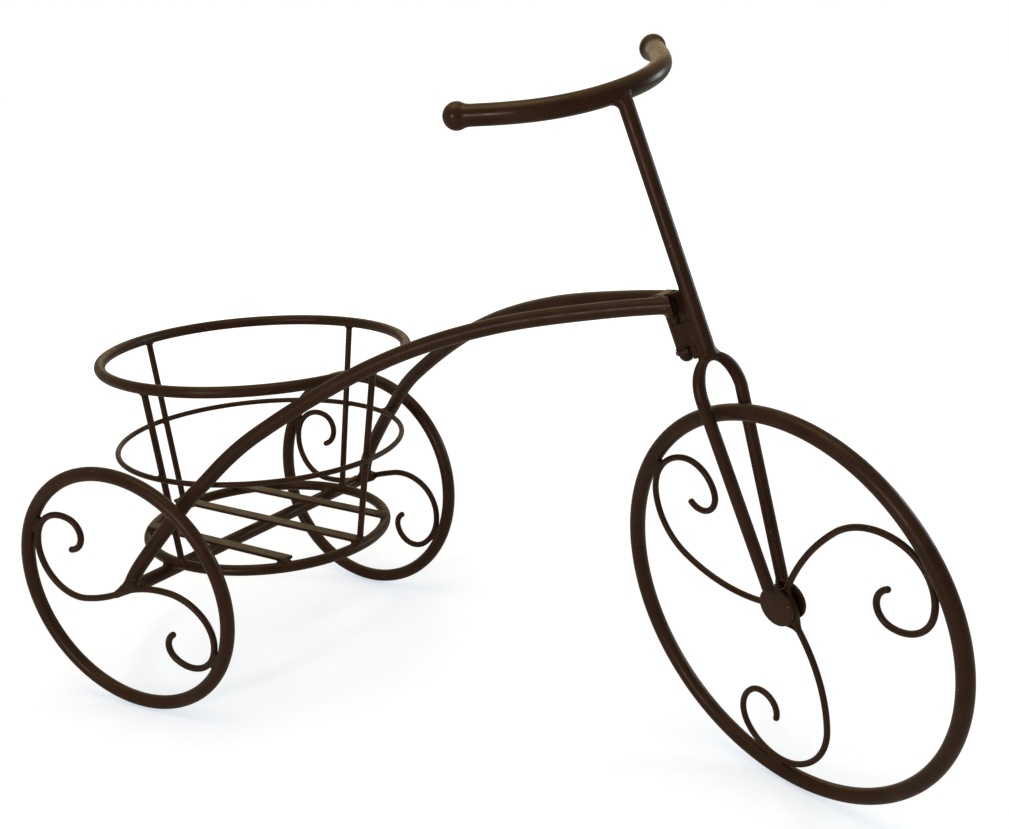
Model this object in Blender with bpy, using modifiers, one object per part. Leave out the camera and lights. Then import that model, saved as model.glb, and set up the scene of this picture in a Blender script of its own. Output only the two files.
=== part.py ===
"""Tricycle planter of bent steel rod and tube, in metres, +Z up, front wheel towards +X.

The rear axle, two curved frame tubes, two rear wheels and the pot basket are one
welded frame. The fork, stem and handlebar turn together on a bolt through the
sleeve at the front end of the frame, and the front wheel turns on a pin between
the two hub discs of the fork. The origin is at the bottom centre of the whole.
"""

import math

import bmesh
import bpy
from mathutils import Matrix, Vector
from mathutils.geometry import interpolate_bezier

# Room left between pieces that touch
SEAT_GAP = 0.0003

# Rear wheels, measured on the centre line of the rim tube
RIM_DIAMETER = 0.0127
REAR_WHEEL_RADIUS = 0.1124
REAR_TRACK = 0.342
REAR_CAMBER = math.radians(2.8)
REAR_TOE = {"left": 0.0, "right": math.radians(7.8)}
REAR_SCROLL_DIAMETER = 0.006
AXLE_DIAMETER = 0.0127
AXLE_NOTCH_DEPTH = 0.003

# Each half of a rear scroll leaves the wheel centre at a heading and runs through
# bends of length and turn. The lengths are shares of one length, worked out below.
REAR_SCROLL_HEADINGS = {
    ("right", "rear"): math.radians(207.3),
    ("right", "front"): math.radians(21.2),
    ("left", "rear"): math.radians(203.0),
    ("left", "front"): math.radians(19.8),
}
REAR_SCROLL_SHARES = {
    ("right", "rear"): ((0.454, -20), (0.294, -47), (0.545, -79), (0.413, -84), (0.393, -160)),
    ("right", "front"): ((0.477, -28), (0.352, -45), (0.363, -66), (0.448, -102), (0.271, -118)),
    ("left", "rear"): ((0.515, -26), (0.290, -47), (0.346, -52), (0.462, -96), (0.409, -153)),
    ("left", "front"): ((0.372, -7), (0.374, -49), (0.684, -111), (0.386, -110), (0.164, -84)),
}

# Front wheel
FRONT_WHEEL_RADIUS = 0.1542
WHEELBASE = 0.5434
FRONT_WHEEL_LEAN = math.radians(0.5)
FRONT_SCROLL_DIAMETER = 0.005
HUB_BARREL_DIAMETER = 0.0224
HUB_DISC_DIAMETER = 0.0310
HUB_DISC_AHEAD = 0.0025
HUB_DISC_RISE = 0.0036
HUB_DISC_THICKNESS = 0.0025
AXLE_PIN_DIAMETER = 0.008

# Each front scroll leaves the hub in a direction, with its heading off that
# direction, and runs through one bend of its own and four that all three share.
FRONT_SCROLL_STARTS = (
    (math.radians(162.6), math.radians(7.7), (0.566, -38)),
    (math.radians(53.6), math.radians(-3.9), (0.544, -30)),
    (math.radians(-53.9), math.radians(-19.5), (0.593, -38)),
)
FRONT_CURL_SHARES = ((0.370, -60.6), (0.375, -84.3), (0.272, -86.8), (0.263, -153.6))

# Fork and stem, along and square to the steering axis
HEAD_RAKE = math.radians(21.0)
HEAD_SHIFT = 0.0015
HEAD_RISE = 0.04754
STEER_ANGLE = math.radians(-20.8)
FORK_ROD_DIAMETER = 0.0095
FORK_LENGTH = 0.1957
FORK_CROWN_WIDTH = 0.0396
FORK_CROWN_HEIGHT = 0.0275
FORK_CROWN_SQUEEZE = 0.3
HUB_LEAD = 0.0107
STEM_LEAD = 0.0226
STEM_DIAMETER = 0.0116
STEM_LENGTH = 0.1983

# Handlebar, from its middle to the centre of each ball
HANDLEBAR_DIAMETER = 0.016
HANDLEBAR_HALF_LENGTH = 0.1229
HANDLEBAR_SETBACK = 0.0046
HANDLEBAR_SHIFT = 0.0027
HANDLEBAR_LIFT = math.radians(25.3)
HANDLEBAR_ROLL = math.radians(3.2)
HANDLEBAR_YAW = math.radians(-1.9)
HANDLEBAR_SHARES = ((0.125, 7), (0.50, 39), (0.25, 11), (0.125, -1))
BALL_DIAMETER = 0.0206

# Steering head
FRAME_TUBE_LEAD = 0.0055
SLEEVE_DIAMETER = 0.0125
SLEEVE_LENGTH = 0.0192
SPACER_LENGTH = 0.0147
BOLT_DIAMETER = 0.008
LUG_THICKNESS = 0.0025
LUG_SINK = 0.0026
LUG_END_RADIUS = 0.00625
LUG_NECK_WIDTH = 0.0076
LUG_NECK_ANGLE = math.radians(40)
WEB_THICKNESS = 0.006
WEB_CLEARANCE = 0.0022
GUSSET_RISE = 0.0012
WASHER_DIAMETER = 0.014
WASHER_THICKNESS = 0.0010
NUT_WIDTH = 0.014
NUT_HEIGHT = 0.004
NUT_DOME_RADIUS = 0.0058
NUT_DOME_HEIGHT = 0.006
NUT_CROWN_THICKNESS = 0.0022

# Frame tubes. The shares run forwards, inwards and upwards: the low ones from the
# wheel centre to the seat on the middle ring, the high ones from there to the head.
FRAME_TUBE_DIAMETER = 0.0127
FRAME_TUBE_TAIL = 0.004
FRAME_TUBE_NOSE = 0.006
FRAME_TUBE_CUT_ANGLE = math.radians(62.5)
FRAME_TUBE_MITRE = 0.0023
FRAME_TUBE_LOW_SHARES = ((0.142, 0.226, 0.221), (0.712, 0.735, 0.763))
FRAME_TUBE_HIGH_SHARES = ((0.133, 0.180, 0.288), (0.400, 0.483, 0.663), (0.667, 0.742, 0.878))
FRAME_TUBE_RING_ANGLE = math.radians(68.3)

# Pot basket, measured on the centre lines of its rods
BASKET_TOP_RADIUS = 0.1412
BASKET_LOWER_RADIUS = 0.1150
BASKET_TOP_HEIGHT = 0.3007
BASKET_MIDDLE_HEIGHT = 0.2161
BASKET_LOWER_LEAD = 0.0179
BASKET_TOP_LEAD = 0.0232
BASKET_SHIFT = -0.0009
BASKET_ROLL = math.radians(-0.5)
UPRIGHT_ANGLES = {
    "front": (math.radians(0), math.radians(0.2)),
    "left": (math.radians(91.1), math.radians(90.8)),
    "rear": (math.radians(181.4), math.radians(181.6)),
    "right": (math.radians(270), math.radians(271.8)),
}
RING_ROD_DIAMETER = 0.010
MIDDLE_ROD_DIAMETER = 0.005
UPRIGHT_DIAMETER = 0.006
SLAT_WIDTH = 0.0125
SLAT_THICKNESS = 0.003
SLAT_OFFSETS = {"left": 0.059, "middle": -0.003, "right": -0.071}
SLAT_YAW = math.radians(1.1)
SLAT_OVERHANG = 0.002

# Facets
RIM_SEGMENTS = 56
RING_SEGMENTS = 48
ROD_BEVEL_RESOLUTION = 2
TUBE_BEVEL_RESOLUTION = 3
TURN_STEPS = 32
BEND_STEP_TURN = math.radians(18)
BEND_STEP_LENGTH = 0.014
ARCH_STEPS = 14
KNOT_STEPS = 7
SEAT_ROUNDS = 12
SEAT_SAMPLES = 8
BISECTIONS = 40
MERGE_DISTANCE = 0.000005

# Finishes: colour, roughness and metallic value
PAINT = ((0.042, 0.020, 0.016, 1.0), 0.42, 0.0)
FASTENER_PAINT = ((0.036, 0.018, 0.014, 1.0), 0.38, 0.2)


# Scene and node helpers

def clear_scene():
    for obj in list(bpy.data.objects):
        bpy.data.objects.remove(obj, do_unlink=True)


def new_collection(name):
    collection = bpy.data.collections.new(name)
    bpy.context.scene.collection.children.link(collection)
    return collection


def new_empty(name, parent=None, matrix=Matrix.Identity(4)):
    empty = bpy.data.objects.new(name, None)
    GUIDES.objects.link(empty)
    empty.parent = parent
    empty.matrix_local = matrix
    return empty


def new_finish(name, finish):
    colour, roughness, metallic = finish
    material = bpy.data.materials.new(name + "_finish")
    material.use_nodes = True
    shader = material.node_tree.nodes["Principled BSDF"]
    shader.inputs["Base Color"].default_value = colour
    shader.inputs["Roughness"].default_value = roughness
    shader.inputs["Metallic"].default_value = metallic
    return material


def add_node(name, data, parent, matrix=Matrix.Identity(4), finish=PAINT):
    obj = bpy.data.objects.new(name, data)
    PARTS.objects.link(obj)
    obj.parent = parent
    obj.matrix_local = matrix
    data.materials.append(new_finish(name, finish))
    return obj


# Shape helpers

def rod(name, points, diameter, parent, bevel_resolution=ROD_BEVEL_RESOLUTION, widths=None):
    """A round rod or tube along a line of points, with flat ends."""
    curve = bpy.data.curves.new(name, "CURVE")
    curve.dimensions = "3D"
    curve.bevel_depth = diameter / 2
    curve.bevel_resolution = bevel_resolution
    curve.use_fill_caps = True
    spline = curve.splines.new("POLY")
    spline.points.add(len(points) - 1)
    for target, point, width in zip(spline.points, points, widths or [1.0] * len(points)):
        target.co = (*point, 1.0)
        target.radius = width
    spline.use_smooth = True
    return add_node(name, curve, parent)


def taken_mesh():
    """The mesh of the primitive that was just added, whose object is removed."""
    primitive = bpy.context.active_object
    mesh = primitive.data
    bpy.data.objects.remove(primitive)
    return mesh


def torus_mesh(radius, diameter, segments):
    bpy.ops.mesh.primitive_torus_add(
        major_segments=segments,
        minor_segments=4 + 2 * TUBE_BEVEL_RESOLUTION,
        major_radius=radius,
        minor_radius=diameter / 2,
    )
    mesh = taken_mesh()
    mesh.shade_smooth()
    return mesh


def box_mesh(length, width, height):
    bpy.ops.mesh.primitive_cube_add(size=1)
    mesh = taken_mesh()
    mesh.transform(Matrix.Diagonal((length, width, height, 1)))
    return mesh


def cylinder_mesh(radius, depth, sides):
    bpy.ops.mesh.primitive_cylinder_add(vertices=sides, radius=radius, depth=depth)
    return taken_mesh()


def new_cutter(name, mesh, place, parent):
    """A hidden body that cuts or shapes another piece."""
    mesh.name = name
    cutter = bpy.data.objects.new(name, mesh)
    CUTTERS.objects.link(cutter)
    cutter.parent = parent
    cutter.matrix_local = place
    cutter.hide_render = True
    cutter.display_type = "WIRE"
    return cutter


def ring(name, radius, diameter, segments, parent, matrix):
    """A ring of round rod about its own Z axis."""
    return add_node(name, torus_mesh(radius, diameter, segments), parent, matrix)


def turned(name, profile, closed, parent, matrix, finish=PAINT, steps=TURN_STEPS):
    """A body turned about its own Z axis from a profile that runs down its outer side."""
    mesh = bpy.data.meshes.new(name)
    vertices = [(radius, 0.0, height) for radius, height in profile]
    edges = [(index, index + 1) for index in range(len(profile) - 1)]
    if closed:
        edges.append((len(profile) - 1, 0))
    mesh.from_pydata(vertices, edges, [])
    obj = add_node(name, mesh, parent, matrix, finish)
    screw = obj.modifiers.new("turn", "SCREW")
    screw.steps = steps
    screw.render_steps = steps
    screw.use_merge_vertices = True
    screw.merge_threshold = MERGE_DISTANCE
    screw.use_smooth_shade = True
    return obj


def bored_disc(name, outer, bore, thickness, parent, matrix, finish=PAINT):
    """A disc, washer, sleeve or barrel with a hole right through."""
    half = thickness / 2
    profile = (
        (outer / 2, half),
        (outer / 2, -half),
        (bore / 2, -half),
        (bore / 2, half),
    )
    return turned(name, profile, True, parent, matrix, finish)


def bent_route(start, heading, bends, unit):
    """Points in a plane along a rod with bends of length share and turn in degrees."""
    points = [Vector(start)]
    for length_share, turn_degrees in bends:
        length = length_share * unit
        turn = math.radians(turn_degrees)
        steps = max(math.ceil(abs(turn) / BEND_STEP_TURN), math.ceil(length / BEND_STEP_LENGTH))
        half_turn = turn / steps / 2
        chord = length / steps * math.sin(half_turn) / half_turn
        for _ in range(steps):
            heading += half_turn
            points.append(points[-1] + chord * Vector((math.cos(heading), math.sin(heading))))
            heading += half_turn
    return points


def fitted_scroll(start, heading, bends, reach):
    """A bent route, sized so that its outermost point lies at the reach."""
    low = 0.0
    high = 2 * reach
    for _ in range(BISECTIONS):
        unit = (low + high) / 2
        points = bent_route(start, heading, bends, unit)
        if max(point.length for point in points) < reach:
            low = unit
        else:
            high = unit
    return points


def in_wheel_plane(points):
    """Points of a wheel's own plane as points about its Y axis."""
    return [Vector((point.x, 0.0, point.y)) for point in points]


def scroll_reach(wheel_radius, rod_diameter):
    """How far a scroll's centre line may reach inside a faceted rim."""
    inner_radius = (wheel_radius - RIM_DIAMETER / 2) * math.cos(math.pi / RIM_SEGMENTS)
    return inner_radius - SEAT_GAP - rod_diameter / 2


def smooth_route(knots):
    """Points of a smooth curve through the knots."""
    points = [knots[0]]
    count = len(knots)
    slopes = []
    for index in range(count):
        before = knots[max(index - 1, 0)]
        after = knots[min(index + 1, count - 1)]
        slopes.append((after - before) / 6)
    for index in range(count - 1):
        handle_out = knots[index] + slopes[index]
        handle_in = knots[index + 1] - slopes[index + 1]
        piece = interpolate_bezier(
            knots[index], handle_out, handle_in, knots[index + 1], KNOT_STEPS + 1
        )
        points.extend(piece[1:])
    return points


def arc_points(centre, radius, start, end, steps):
    """Points of an arc in a plane, from one angle to another."""
    points = []
    for step in range(steps + 1):
        angle = start + (end - start) * step / steps
        points.append(Vector((centre + radius * math.cos(angle), radius * math.sin(angle))))
    return points


# Places worked out from the driving dimensions

RIM_RADIUS = RIM_DIAMETER / 2
FRAME_TUBE_RADIUS = FRAME_TUBE_DIAMETER / 2
REAR_HUB_HEIGHT = REAR_WHEEL_RADIUS * math.cos(REAR_CAMBER) + RIM_RADIUS

STEERING_TURN = Matrix.Rotation(-HEAD_RAKE, 4, "Y") @ Matrix.Rotation(STEER_ANGLE, 4, "Z")
FRONT_WHEEL_TURN = STEERING_TURN @ Matrix.Rotation(FRONT_WHEEL_LEAN, 4, "X")
WHEEL_LEAN_SINE = FRONT_WHEEL_TURN[2][1]
FRONT_HUB_HEIGHT = FRONT_WHEEL_RADIUS * math.sqrt(1 - WHEEL_LEAN_SINE ** 2) + RIM_RADIUS
HUB_IN_STEERING = Vector((HUB_LEAD, 0.0, -FORK_LENGTH))
FRONT_HUB = Vector((WHEELBASE, 0.0, FRONT_HUB_HEIGHT))
STEERING_ORIGIN = FRONT_HUB - STEERING_TURN @ HUB_IN_STEERING
STEERING_ORIGIN.y = HEAD_SHIFT
STEERING_AXIS = STEERING_TURN.to_3x3() @ Vector((0.0, 0.0, 1.0))

BASKET_LOWER_HEIGHT = (
    REAR_HUB_HEIGHT + AXLE_DIAMETER / 2 + RING_ROD_DIAMETER / 2 - AXLE_NOTCH_DEPTH
)
BASKET_LOWER_CENTRE = Vector((BASKET_LOWER_LEAD, BASKET_SHIFT, BASKET_LOWER_HEIGHT))
BASKET_TOP_CENTRE = Vector((BASKET_TOP_LEAD, BASKET_SHIFT, BASKET_TOP_HEIGHT))
MIDDLE_SHARE = (BASKET_MIDDLE_HEIGHT - BASKET_LOWER_HEIGHT) / (BASKET_TOP_HEIGHT - BASKET_LOWER_HEIGHT)
BASKET_MIDDLE_CENTRE = BASKET_LOWER_CENTRE.lerp(BASKET_TOP_CENTRE, MIDDLE_SHARE)
BASKET_FLARE = math.atan2(
    BASKET_TOP_RADIUS - BASKET_LOWER_RADIUS + abs(BASKET_TOP_LEAD - BASKET_LOWER_LEAD),
    BASKET_TOP_HEIGHT - BASKET_LOWER_HEIGHT,
)
UPRIGHT_MIDDLE_RADIUS = (
    BASKET_LOWER_RADIUS + (BASKET_TOP_RADIUS - BASKET_LOWER_RADIUS) * MIDDLE_SHARE
)
BASKET_TILT = Matrix.Rotation(BASKET_ROLL, 4, "X")
BASKET_MIDDLE_RADIUS = (
    UPRIGHT_MIDDLE_RADIUS
    + UPRIGHT_DIAMETER / 2 / math.cos(BASKET_FLARE)
    + SEAT_GAP
    + MIDDLE_ROD_DIAMETER / 2
)

HEAD_POINT = STEERING_ORIGIN + STEERING_AXIS * HEAD_RISE
TUBE_CROWN = HEAD_POINT + Vector((FRAME_TUBE_LEAD, 0.0, FRAME_TUBE_RADIUS))
LUG_LEVEL = (TUBE_CROWN - STEERING_ORIGIN).dot(STEERING_AXIS) + SEAT_GAP - LUG_SINK
SLEEVE_TOP = LUG_LEVEL - SEAT_GAP
SLEEVE_BOTTOM = SLEEVE_TOP - SLEEVE_LENGTH
SPACER_TOP = SLEEVE_BOTTOM - SEAT_GAP
SPACER_BOTTOM = SPACER_TOP - SPACER_LENGTH
LOWER_LUG_LEVEL = SPACER_BOTTOM - SEAT_GAP - LUG_THICKNESS
WASHER_LEVEL = LOWER_LUG_LEVEL - SEAT_GAP - WASHER_THICKNESS
NUT_LEVEL = WASHER_LEVEL - SEAT_GAP
NUT_BORE_DEPTH = NUT_HEIGHT + NUT_DOME_HEIGHT - NUT_CROWN_THICKNESS
BOLT_BORE = BOLT_DIAMETER + 2 * SEAT_GAP

LEG_END_SPREAD = FRONT_SCROLL_DIAMETER / 2 + SEAT_GAP + FORK_ROD_DIAMETER / 2
HUB_DISC_SPREAD = LEG_END_SPREAD - HUB_DISC_THICKNESS / 4
HUB_DISC_INNER_FACE = HUB_DISC_SPREAD - HUB_DISC_THICKNESS / 2
PIN_BORE = AXLE_PIN_DIAMETER + 2 * SEAT_GAP

SIDES = {"left": 1, "right": -1}
ACROSS = Matrix.Rotation(math.radians(90), 4, "X")


# Frame

def ring_distance(point):
    """Distance from a point to the centre line of the basket's middle ring."""
    offset = BASKET_TILT.inverted() @ (point - BASKET_MIDDLE_CENTRE)
    return math.hypot(math.hypot(offset.x, offset.y) - BASKET_MIDDLE_RADIUS, offset.z)


def axis_distance(point):
    """Distance from a point to the steering axis."""
    offset = point - STEERING_ORIGIN
    return (offset - offset.project(STEERING_AXIS)).length


def least_distance(route, distance):
    """The least distance along a route of straight steps."""
    least = distance(route[0])
    for start, end in zip(route, route[1:]):
        for sample in range(1, SEAT_SAMPLES + 1):
            least = min(least, distance(start.lerp(end, sample / SEAT_SAMPLES)))
    return least


def frame_tube_route(side):
    """The centre line of a frame tube, seated on the middle ring and the head sleeve."""
    sign = SIDES[side]
    stop = REAR_TRACK / 2 - REAR_SCROLL_DIAMETER / 2 - SEAT_GAP - FRAME_TUBE_MITRE
    rear_point = Vector((0.0, sign * stop, REAR_HUB_HEIGHT))
    ring_direction = BASKET_TILT @ Vector(
        (math.cos(FRAME_TUBE_RING_ANGLE), sign * math.sin(FRAME_TUBE_RING_ANGLE), 0.0)
    )
    ring_room = MIDDLE_ROD_DIAMETER / 2 + SEAT_GAP + FRAME_TUBE_RADIUS
    head_room = SLEEVE_DIAMETER / 2 + SEAT_GAP + FRAME_TUBE_RADIUS
    ring_seat = BASKET_MIDDLE_RADIUS + ring_room
    head_seat = head_room
    for _ in range(SEAT_ROUNDS):
        ring_point = BASKET_MIDDLE_CENTRE + ring_direction * ring_seat
        head_point = HEAD_POINT + Vector((FRAME_TUBE_LEAD, sign * head_seat, 0.0))
        low_run = ring_point - rear_point
        high_run = head_point - ring_point
        low_knots = [rear_point + Vector(shares) * low_run for shares in FRAME_TUBE_LOW_SHARES]
        high_knots = [ring_point + Vector(shares) * high_run for shares in FRAME_TUBE_HIGH_SHARES]
        route = smooth_route([rear_point, *low_knots, ring_point, *high_knots, head_point])
        ring_seat += ring_room - least_distance(route, ring_distance)
        head_seat += head_room - least_distance(route, axis_distance)
    tail = rear_point + (rear_point - route[1]).normalized() * FRAME_TUBE_TAIL
    nose = route[-1] + (route[-1] - route[-2]).normalized() * FRAME_TUBE_NOSE
    return [tail, *route[1:-1], nose]


def axle_reach(route):
    """How far from the middle the axle meets the inner side of a frame tube."""
    reach = abs(route[0].y)
    for start, end in zip(route, route[1:]):
        for sample in range(SEAT_SAMPLES + 1):
            point = start.lerp(end, sample / SEAT_SAMPLES)
            aside = math.hypot(point.x, point.z - REAR_HUB_HEIGHT) - AXLE_DIAMETER / 2
            aside = max(0.0, aside)
            if aside < FRAME_TUBE_RADIUS:
                reach = min(reach, abs(point.y) - math.sqrt(FRAME_TUBE_RADIUS ** 2 - aside ** 2))
    return reach - SEAT_GAP


def as_mesh(obj):
    """A curve object made into a mesh object whose caps are welded on."""
    bpy.context.view_layer.update()
    graph = bpy.context.evaluated_depsgraph_get()
    mesh = bpy.data.meshes.new_from_object(obj.evaluated_get(graph))
    welded = bmesh.new()
    welded.from_mesh(mesh)
    bmesh.ops.remove_doubles(welded, verts=welded.verts, dist=MERGE_DISTANCE)
    welded.to_mesh(mesh)
    welded.free()
    name = obj.name
    parent = obj.parent
    place = obj.matrix_local.copy()
    bpy.data.objects.remove(obj)
    mesh.name = name
    meshed = bpy.data.objects.new(name, mesh)
    PARTS.objects.link(meshed)
    meshed.parent = parent
    meshed.matrix_local = place
    return meshed


def add_cut(obj, cutter, operation="DIFFERENCE"):
    boolean = obj.modifiers.new(cutter.name, "BOOLEAN")
    boolean.operation = operation
    boolean.object = cutter
    boolean.solver = "EXACT"


def build_frame_tube(side, wheel, head, planter):
    """A frame tube cut flat against its wheel's scroll rod, and slantwise at the head."""
    route = frame_tube_route(side)
    tube = as_mesh(
        rod(f"frame_tube_{side}", route, FRAME_TUBE_DIAMETER, planter, TUBE_BEVEL_RESOLUTION)
    )
    size = 4 * FRAME_TUBE_DIAMETER
    face = REAR_SCROLL_DIAMETER / 2 + SEAT_GAP
    place = Matrix.Translation((0.0, SIDES[side] * (size / 2 - face), 0.0))
    add_cut(tube, new_cutter(f"frame_tube_{side}_end", box_mesh(size, size, size), place, wheel))
    slant = SIDES[side] * (FRAME_TUBE_CUT_ANGLE - math.pi / 2)
    nose_place = Matrix.Rotation(slant, 4, "Z") @ Matrix.Translation((size / 2, 0.0, LUG_LEVEL))
    add_cut(tube, new_cutter(f"frame_tube_{side}_nose", box_mesh(size, size, size), nose_place, head))
    return route


def build_rear_axle(left_route, right_route, planter):
    """The axle, notched where the lower ring of the basket lies in it."""
    ends = (
        Vector((0.0, -axle_reach(right_route), REAR_HUB_HEIGHT)),
        Vector((0.0, axle_reach(left_route), REAR_HUB_HEIGHT)),
    )
    axle = as_mesh(rod("rear_axle", ends, AXLE_DIAMETER, planter, TUBE_BEVEL_RESOLUTION))
    notch = torus_mesh(BASKET_LOWER_RADIUS, RING_ROD_DIAMETER + 2 * SEAT_GAP, RING_SEGMENTS)
    place = Matrix.Translation(BASKET_LOWER_CENTRE) @ BASKET_TILT
    add_cut(axle, new_cutter("rear_axle_notch", notch, place, planter))


def build_head_sleeve(head):
    place = Matrix.Translation((0.0, 0.0, (SLEEVE_TOP + SLEEVE_BOTTOM) / 2))
    bored_disc("head_sleeve", SLEEVE_DIAMETER, BOLT_BORE, SLEEVE_LENGTH, head, place)


def rear_scroll(side):
    """Both halves of the scroll in a rear wheel, as one rod through the wheel centre."""
    reach = scroll_reach(REAR_WHEEL_RADIUS, REAR_SCROLL_DIAMETER)
    halves = []
    for end in ("rear", "front"):
        key = (side, end)
        half = fitted_scroll((0.0, 0.0), REAR_SCROLL_HEADINGS[key], REAR_SCROLL_SHARES[key], reach)
        halves.append(half)
    return list(reversed(halves[0])) + halves[1][1:]


def build_rear_wheel(side, planter):
    sign = SIDES[side]
    place = (
        Matrix.Translation((0.0, sign * REAR_TRACK / 2, REAR_HUB_HEIGHT))
        @ Matrix.Rotation(-sign * REAR_TOE[side], 4, "Z")
        @ Matrix.Rotation(-sign * REAR_CAMBER, 4, "X")
    )
    wheel = new_empty(f"rear_wheel_{side}", planter, place)
    ring(f"rear_rim_{side}", REAR_WHEEL_RADIUS, RIM_DIAMETER, RIM_SEGMENTS, wheel, ACROSS)
    rod(f"rear_scroll_{side}", in_wheel_plane(rear_scroll(side)), REAR_SCROLL_DIAMETER, wheel)
    return wheel


# Basket

def build_basket_rings(planter):
    for name, centre, radius, diameter in (
        ("basket_top_ring", BASKET_TOP_CENTRE, BASKET_TOP_RADIUS, RING_ROD_DIAMETER),
        ("basket_middle_ring", BASKET_MIDDLE_CENTRE, BASKET_MIDDLE_RADIUS, MIDDLE_ROD_DIAMETER),
        ("basket_lower_ring", BASKET_LOWER_CENTRE, BASKET_LOWER_RADIUS, RING_ROD_DIAMETER),
    ):
        place = Matrix.Translation(centre) @ BASKET_TILT
        ring(name, radius, diameter, RING_SEGMENTS, planter, place)


def ring_point(centre, radius, angle):
    """A point on the centre line of one of the basket's rings."""
    return centre + BASKET_TILT @ Vector((radius * math.cos(angle), radius * math.sin(angle), 0.0))


def build_basket_upright(end, on_slat, planter):
    low_angle, top_angle = UPRIGHT_ANGLES[end]
    low = ring_point(BASKET_LOWER_CENTRE, BASKET_LOWER_RADIUS, low_angle)
    high = ring_point(BASKET_TOP_CENTRE, BASKET_TOP_RADIUS, top_angle)
    along = (high - low).normalized()
    foot = low + along * (RING_ROD_DIAMETER / 2 + SEAT_GAP)
    if on_slat:
        tilt_room = UPRIGHT_DIAMETER / 2 * math.hypot(along.x, along.y)
        foot += along * ((SLAT_THICKNESS + SEAT_GAP + tilt_room) / along.z)
    head = high - along * (RING_ROD_DIAMETER / 2 + SEAT_GAP)
    rod(f"basket_upright_{end}", (foot, head), UPRIGHT_DIAMETER, planter)


def build_slat(name, offset, planter):
    """A flat bar along X that lies on the lower ring."""
    if abs(offset) < SLAT_WIDTH:
        half_length = BASKET_LOWER_RADIUS + UPRIGHT_DIAMETER
    else:
        reach = BASKET_LOWER_RADIUS + SLAT_OVERHANG
        half_length = math.sqrt(reach ** 2 - (abs(offset) + SLAT_WIDTH / 2) ** 2)
    rise = RING_ROD_DIAMETER / 2 + SEAT_GAP + SLAT_THICKNESS / 2
    turn = BASKET_TILT @ Matrix.Rotation(SLAT_YAW, 4, "Z")
    place = Matrix.Translation(BASKET_LOWER_CENTRE) @ turn @ Matrix.Translation((0.0, offset, rise))
    add_node(name, box_mesh(2 * half_length, SLAT_WIDTH, SLAT_THICKNESS), planter, place)


def build_basket(planter):
    build_basket_rings(planter)
    for end in UPRIGHT_ANGLES:
        build_basket_upright(end, end in ("front", "rear"), planter)
    for side, offset in SLAT_OFFSETS.items():
        build_slat(f"floor_slat_{side}", offset, planter)


# Steering, in its own frame: X ahead of the axis, Y to the left, Z up along the axis

def fork_route():
    """One rod from the left hub disc over the crown to the right hub disc."""
    half_width = FORK_CROWN_WIDTH / 2
    shoulder = Vector((STEM_LEAD, half_width, -FORK_CROWN_HEIGHT))
    foot = Vector((HUB_LEAD, LEG_END_SPREAD, -FORK_LENGTH))
    along = (shoulder - foot).normalized()
    disc = Vector((HUB_DISC_AHEAD, 0.0, HUB_DISC_RISE))
    nearest = along.dot(disc)
    room = HUB_DISC_DIAMETER / 2 + SEAT_GAP
    end = foot + along * (nearest + math.sqrt(room ** 2 - disc.length_squared + nearest ** 2))
    end.y = LEG_END_SPREAD
    route = [end]
    widths = [1.0]
    for step in range(ARCH_STEPS + 1):
        angle = math.pi * step / ARCH_STEPS
        across = half_width * math.cos(angle)
        height = FORK_CROWN_HEIGHT * (math.sin(angle) - 1)
        route.append(Vector((STEM_LEAD, across, height)))
        widths.append(1 - FORK_CROWN_SQUEEZE * math.sin(angle) ** 4)
    route.append(Vector((end.x, -end.y, end.z)))
    widths.append(1.0)
    return route, widths


def handlebar_half():
    """The centre line of half the handlebar in its own plane, from the middle to its end."""
    ball_flat = math.sqrt((BALL_DIAMETER / 2) ** 2 - (HANDLEBAR_DIAMETER / 2) ** 2)
    bar_length = HANDLEBAR_HALF_LENGTH - ball_flat - SEAT_GAP
    route = bent_route((0.0, 0.0), 0.0, HANDLEBAR_SHARES, bar_length)
    along = (route[-1] - route[-2]).normalized()
    ball_centre = route[-1] + along * (SEAT_GAP + ball_flat)
    return route, ball_centre, along, ball_flat


def handlebar_place(point, sign):
    """A point of the handlebar's plane, turned into the steering frame."""
    sweep = Vector((-math.cos(HANDLEBAR_LIFT), 0.0, math.sin(HANDLEBAR_LIFT)))
    turn = Matrix.Rotation(HANDLEBAR_ROLL, 3, "X") @ Matrix.Rotation(HANDLEBAR_YAW, 3, "Z")
    return turn @ (sweep * point.y + Vector((0.0, sign * point.x, 0.0)))


def build_handlebar(steering):
    middle = Vector((STEM_LEAD - HANDLEBAR_SETBACK, HANDLEBAR_SHIFT, STEM_LENGTH))
    half, ball_centre, along, ball_flat = handlebar_half()
    left = [middle + handlebar_place(point, 1) for point in half]
    right = [middle + handlebar_place(point, -1) for point in half]
    route = list(reversed(right)) + left[1:]
    rod("handlebar", route, HANDLEBAR_DIAMETER, steering, TUBE_BEVEL_RESOLUTION)
    ball_radius = BALL_DIAMETER / 2
    flat_angle = math.atan2(-ball_flat, HANDLEBAR_DIAMETER / 2)
    arc_steps = TURN_STEPS // 4
    profile = []
    for step in range(arc_steps + 1):
        angle = math.pi / 2 + (flat_angle - math.pi / 2) * step / arc_steps
        profile.append((ball_radius * math.cos(angle), ball_radius * math.sin(angle)))
    profile[0] = (0.0, ball_radius)
    profile.append((0.0, -ball_flat))
    for side, sign in SIDES.items():
        direction = handlebar_place(along, sign)
        turn = direction.to_track_quat("Z", "Y").to_matrix().to_4x4()
        place = Matrix.Translation(middle + handlebar_place(ball_centre, sign)) @ turn
        turned(f"handlebar_ball_{side}", profile, False, steering, place, PAINT, TURN_STEPS // 2)


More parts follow.
